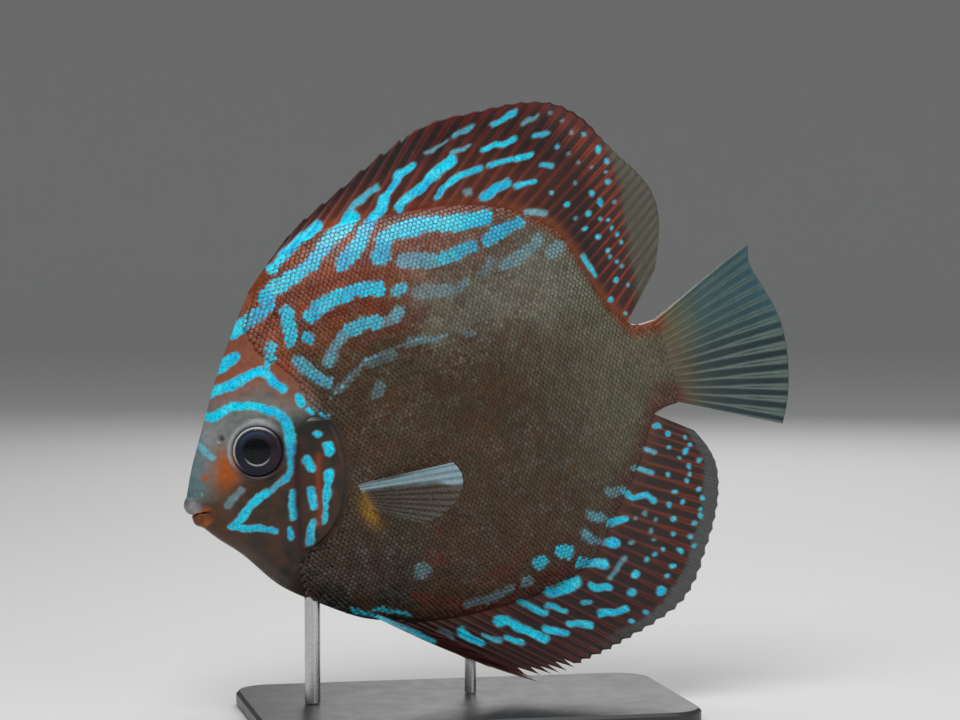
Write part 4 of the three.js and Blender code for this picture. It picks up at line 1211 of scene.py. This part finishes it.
def anal_colour(at, side):
    soft = noise(at.x, at.z, 5, side + 16)
    clear = smooth(-4.6, -3, at.height - at.height[:, -1:] + 0.8 * soft) * smooth(0.25, 0.5, at.share)
    paint = layered(
        striped(ANAL_DARK, at, 0.9),
        (striped(ANAL_REAR, at), smooth(0.5, 0.75, at.share + 0.05 * soft) * 0.85),
        (striped(ANAL_CLEAR, at), clear),
        root_flesh(at, side, 5),
    )
    paint, blue = with_blue(paint, at.x, at.z, side)
    return paint, 1 - 0.28 * clear * (1 - 0.7 * at.profile) * (1 - blue), blue


def caudal_colour(at, side):
    bands = 0.5 + 0.5 * noise(at.x, at.z, 3, side + 18)
    lower = smooth(0.3, 0.6, at.share)
    membrane = 1 - at.profile
    paint = layered(
        CAUDAL_GREY * (0.75 + 0.25 * bands)[..., None],
        (CAUDAL_LOWER, lower * membrane * 0.8),
        (CAUDAL_RAY, at.profile * (0.35 + 0.35 * lower)),
        (CAUDAL_TEAL, smooth(0.55, 1, at.out) * membrane * (1 - lower) * 0.6),
        (CAUDAL_OLIVE, fade(5, 15, at.height) * (1 - 0.6 * lower) * (0.4 + 0.4 * at.profile)),
        (CAUDAL_BROWN, fade(1, 9, at.height) * 0.7),
        root_flesh(at, side, 4),
    )
    cover = 0.84 + 0.14 * at.profile
    return paint, cover + (1 - cover) * fade(1, 7, at.height), 0 * at.x


def pelvic_colour(at, side):
    front_edge = fade(0.3, 1.1, at.ray) * smooth(0.15, 0.4, at.out)
    paint = mixed(striped(PELVIC_DARK, at, 0.8), PELVIC_PINK, front_edge * 0.8)
    depth = 3.2 + 2.6 * at.out
    paint, blue = with_blue(paint, at.x + LEAN_BACK * depth, at.z - LEAN_DOWN * depth, side, "pelvic")
    paint = mixed(paint, PELVIC_ICE, bump(1, 0.35, blue) * bump(0.32, 0.14, at.out) * 0.7)
    return paint, 0.75 + 0.25 * np.maximum(at.profile, fade(0.5, 0.9, at.out)), blue


def pectoral_colour(at, side):
    waist = bump(0.42, 0.24, at.out)
    band = fade(2.7, 3.7, at.ray + waist + 0.5 * noise(at.x, at.z, 4, side + 28))
    paint = layered(
        striped(PECTORAL_CLEAR, at),
        (striped(PECTORAL_PALE, at), band),
        (AMBER, fade(2, 6, at.height) * (1 - 0.7 * band) * 0.9),
    )
    cover = 0.14 + 0.2 * at.profile + 0.62 * band
    cover = cover * (1 - 0.85 * waist * fade(0.2, 1.4, at.ray))
    return paint, np.clip(np.maximum(cover, fade(1.5, 7, at.height)), 0, 1), 0 * at.x


def swung(points, reach):
    """A line of (x, z, y) points, with y scaled by its reach to one side."""
    return [[x, z, reach * y] for x, z, y in points]


def build_fins():
    build_fin("dorsal_fin", "red_fin", DORSAL_ROOTS, DORSAL_MARGIN, DORSAL_FIN, dorsal_colour)
    build_fin("anal_fin", "red_fin", ANAL_ROOTS, ANAL_MARGIN, ANAL_FIN, anal_colour)
    build_fin("caudal_fin", "clear_fin", CAUDAL_ROOTS, CAUDAL_MARGIN, CAUDAL_FIN, caudal_colour)
    for name, side in SIDES:
        tuck = side * (FAR_PELVIC_TUCK if side > 0 else 1)
        build_fin(
            f"pelvic_fin_{name}", "red_fin", swung(PELVIC_ROOTS, tuck), swung(PELVIC_MARGIN, tuck),
            PELVIC_FIN, pelvic_colour,
        )
        build_fin(
            f"pectoral_fin_{name}", "clear_fin", swung(PECTORAL_ROOTS, side), swung(PECTORAL_MARGIN, side),
            PECTORAL_FIN, pectoral_colour,
        )


# Eyes

# The globe's section as (distance from the axis, height over the flank)
EYE_PROFILE = [
    (0, 1.12), (1.2, 1.09), (2.2, 1.0), (3.1, 0.86), (3.35, 0.8), (3.5, 0.73), (3.8, 0.65), (4.5, 0.48),
    (5.1, 0.32), (5.5, 0.34), (5.8, 0.42), (6.05, 0.3), (6.12, -0.4), (6.1, -2.3), (0, -2.3),
]
CORNEA_RADIUS = 5.95
EYE_TURNS = 96


def turned_piece(name, profile, side, colouring=None):
    """A closed piece turned round the line that the flank faces along at the eye."""
    origin, normal = surface_frame(*EYE_AT, side)
    tailward = np.array([1.0, 0, 0]) - normal[0] * normal
    tailward /= np.linalg.norm(tailward)
    upward = np.cross(tailward, normal) * side
    angle = np.linspace(0, 2 * math.pi, EYE_TURNS, endpoint=False)
    ring = np.cos(angle)[:, None] * tailward + np.sin(angle)[:, None] * upward
    profile = np.array(profile, float)
    points = origin + profile[:, 0, None, None] * ring[None] + profile[:, 1, None, None] * normal
    paint = colouring and colouring(*np.meshgrid(profile[:, 0], angle, indexing="ij")).reshape(-1, 3)
    piece = make_mesh(name, points.reshape(-1, 3), grid_faces(len(profile), EYE_TURNS, wrap=True), paint)
    mend(piece, join=1e-7)
    return piece


def iris_colour(radius, turn):
    """A near-black pupil with a painted reflection as a pale crescent under it, a dark iris with a painted
    blue reflection above, and a silvery rim painted as a highlight on its lit side and as shade on the rest.
    """
    iris = mixed(IRIS, IRIS_WARM, smooth(-0.2, 0.9, np.cos(turn)))
    lit = smooth(-0.35, 0.7, np.sin(turn - 0.45))
    return layered(
        PUPIL,
        (iris, smooth(3.3, 3.6, radius)),
        # Painted reflection: a pale crescent under the pupil
        (CRESCENT_REFLECTION, bump(3.5, 0.16, radius) * smooth(0.35, 1, -np.sin(turn + 0.25))),
        # Painted reflection: blue on the iris's upper side
        (IRIS_BLUE_REFLECTION, bump(4.6, 0.6, radius) * smooth(0.1, 1, np.sin(turn)) * 0.5),
        # The silvery rim: painted highlight where lit, painted shade elsewhere
        (SILVER_RIM_HIGHLIGHT, bump(5.85, 0.22, radius) * lit),
        (EYE_SHADE, bump(5.9, 0.25, radius) * (1 - lit) * 0.6),
    )


def refined(profile, parts):
    """More points along a profile, for colours that change quickly across it."""
    corners = np.array(profile, float)
    pieces = [np.linspace(a, b, parts, endpoint=False) for a, b in zip(corners[:-1], corners[1:])]
    return np.vstack([*pieces, corners[-1:]])


def clear_material():
    """The clear front of the eye: see-through, with a faint blue haze and a wet gloss."""
    finish = Finish("cornea", Coat_Weight=1.0, Coat_Roughness=0.03, Alpha=0.1)
    haze = finish.node("Mix")
    haze.data_type = "RGBA"
    haze.inputs["A"].default_value = (0.002, 0.004, 0.008, 1)
    haze.inputs["B"].default_value = (0.01, 0.016, 0.026, 1)
    finish.link(finish.noise(0.003), haze.inputs["Factor"])
    finish.link(haze.outputs["Result"], finish.shader["Base Color"])
    finish.gloss(0.002, 0.03, 0.07)
    return finish.material


def build_eyes():
    globe_finish = Finish("eye_globe", Specular_IOR_Level=0.12, Coat_Weight=0.12, Coat_Roughness=0.05)
    globe_finish.painted(0.0006, 0.85, 1.15)
    globe_finish.gloss(0.0008, 0.3, 0.5)
    cornea_material = clear_material()
    turns = np.linspace(math.pi / 2, 0, 12)
    dome = [(CORNEA_RADIUS * math.cos(t), 0.5 + (EYE_PROUD - 0.55) * math.sin(t)) for t in turns]
    back = [(CORNEA_RADIUS, -0.4), (0, -0.4)]
    for name, side in SIDES:
        globe = turned_piece(f"eye_globe_{name}", refined(EYE_PROFILE, 3), side, iris_colour)
        dress(globe, globe_finish.material, "eye", f"eye_{name}")
        dress(turned_piece(f"cornea_{name}", dome + back, side), cornea_material, "eye")


# Stand, floor, light and camera

def dress_stand():
    base = Finish("base_lacquer", Coat_Weight=0.25, Coat_Roughness=0.25, Base_Color=(0.018, 0.018, 0.02, 1))
    base.gloss(0.006, 0.34, 0.5, 5)
    base.grain(0.0004, 4, 0.3, 0.00005)
    rod = Finish("brushed_rod", Metallic=1.0, Base_Color=(0.62, 0.62, 0.64, 1))
    rod.gloss(0.0005, 0.2, 0.38, 6)
    rod.grain(0.0005, 6, 0.2, 0.00003)
    for name, finish in (("stand_base", base), ("stand_rod_front", rod), ("stand_rod_rear", rod)):
        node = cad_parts[name]
        node.data.materials.clear()
        node.data.materials.append(finish.material)


FLOOR_RADIUS = 2
BACKDROP_CURVE = 1.2
LIGHT_TARGET = mathutils.Vector((0, 0, 0.08))
# Lights as (name, place, size, power)
LIGHTS = [
    ("key", (-0.25, -0.45, 0.75), 0.5, 5.4),
    ("top", (0.1, 0.1, 0.9), 0.6, 3.0),
    ("fill", (0.6, -0.7, 0.3), 0.6, 1.4),
    ("back", (0.3, 0.8, 0.5), 0.5, 2.2),
]


def facing(direction):
    """The turn that points a lamp or a camera along a direction, with its top up."""
    return mathutils.Vector(direction).to_track_quat("-Z", "Y").to_euler()


def build_floor():
    """A round pale floor that curves up into a wall all round."""
    turn = np.linspace(0, math.pi / 2, 25)
    rim = FLOOR_RADIUS + BACKDROP_CURVE
    reach = np.concatenate([[0.001, 0.5, 1, 1.5], FLOOR_RADIUS + BACKDROP_CURVE * np.sin(turn), [rim, rim]])
    height = np.concatenate([[0, 0, 0, 0], BACKDROP_CURVE * (1 - np.cos(turn)), [2.2, 3]])
    angle = np.linspace(0, 2 * math.pi, 128, endpoint=False)
    places = np.stack([
        np.outer(reach, np.cos(angle)), np.outer(reach, np.sin(angle)),
        np.repeat(height[:, None], len(angle), 1),
    ], -1)
    mesh = bpy.data.meshes.new("floor")
    middle = list(range(len(angle)))
    faces = [*grid_faces(len(reach), len(angle), wrap=True).tolist(), middle]
    mesh.from_pydata(places.reshape(-1, 3).tolist(), [], faces)
    mesh.polygons.foreach_set("use_smooth", [True] * len(mesh.polygons))
    mesh.materials.append(Finish("pale_floor", Roughness=0.75, Base_Color=(0.6, 0.6, 0.59, 1)).material)
    floor = placed("floor", mesh)


def build_lights():
    world = bpy.data.worlds.new("studio")
    bpy.context.scene.world = world
    world.use_nodes = True
    glow = world.node_tree.nodes["Background"].inputs
    glow["Color"].default_value = (0.78, 0.8, 0.82, 1)
    glow["Strength"].default_value = 0.36
    for name, place, size, power in LIGHTS:
        lamp = placed(name, bpy.data.lights.new(name, "AREA"))
        lamp.data.size = size
        lamp.data.energy = power
        lamp.location = place
        lamp.rotation_euler = facing(LIGHT_TARGET - lamp.location)


def build_camera():
    level = math.cos(CAMERA_ELEVATION)
    back = np.array([
        -math.sin(CAMERA_YAW) * level, -math.cos(CAMERA_YAW) * level, math.sin(CAMERA_ELEVATION),
    ])
    camera = placed("camera", bpy.data.cameras.new("camera"))
    camera.data.lens = LENS
    camera.data.clip_start = 0.01
    camera.location = (CAMERA_TARGET + CAMERA_DISTANCE * back) * MM
    camera.rotation_euler = facing(-back)
    bpy.context.scene.camera = camera
    bpy.context.scene.view_settings.view_transform = "Standard"


build_camera()
build_skin()
for side_name, side in SIDES:
    build_scales(f"scales_{side_name}_front", side, 0, COAT_SPLIT)
    build_scales(f"scales_{side_name}_rear", side, COAT_SPLIT, COAT_END)
build_fins()
build_eyes()
dress_stand()
build_floor()
build_lights()
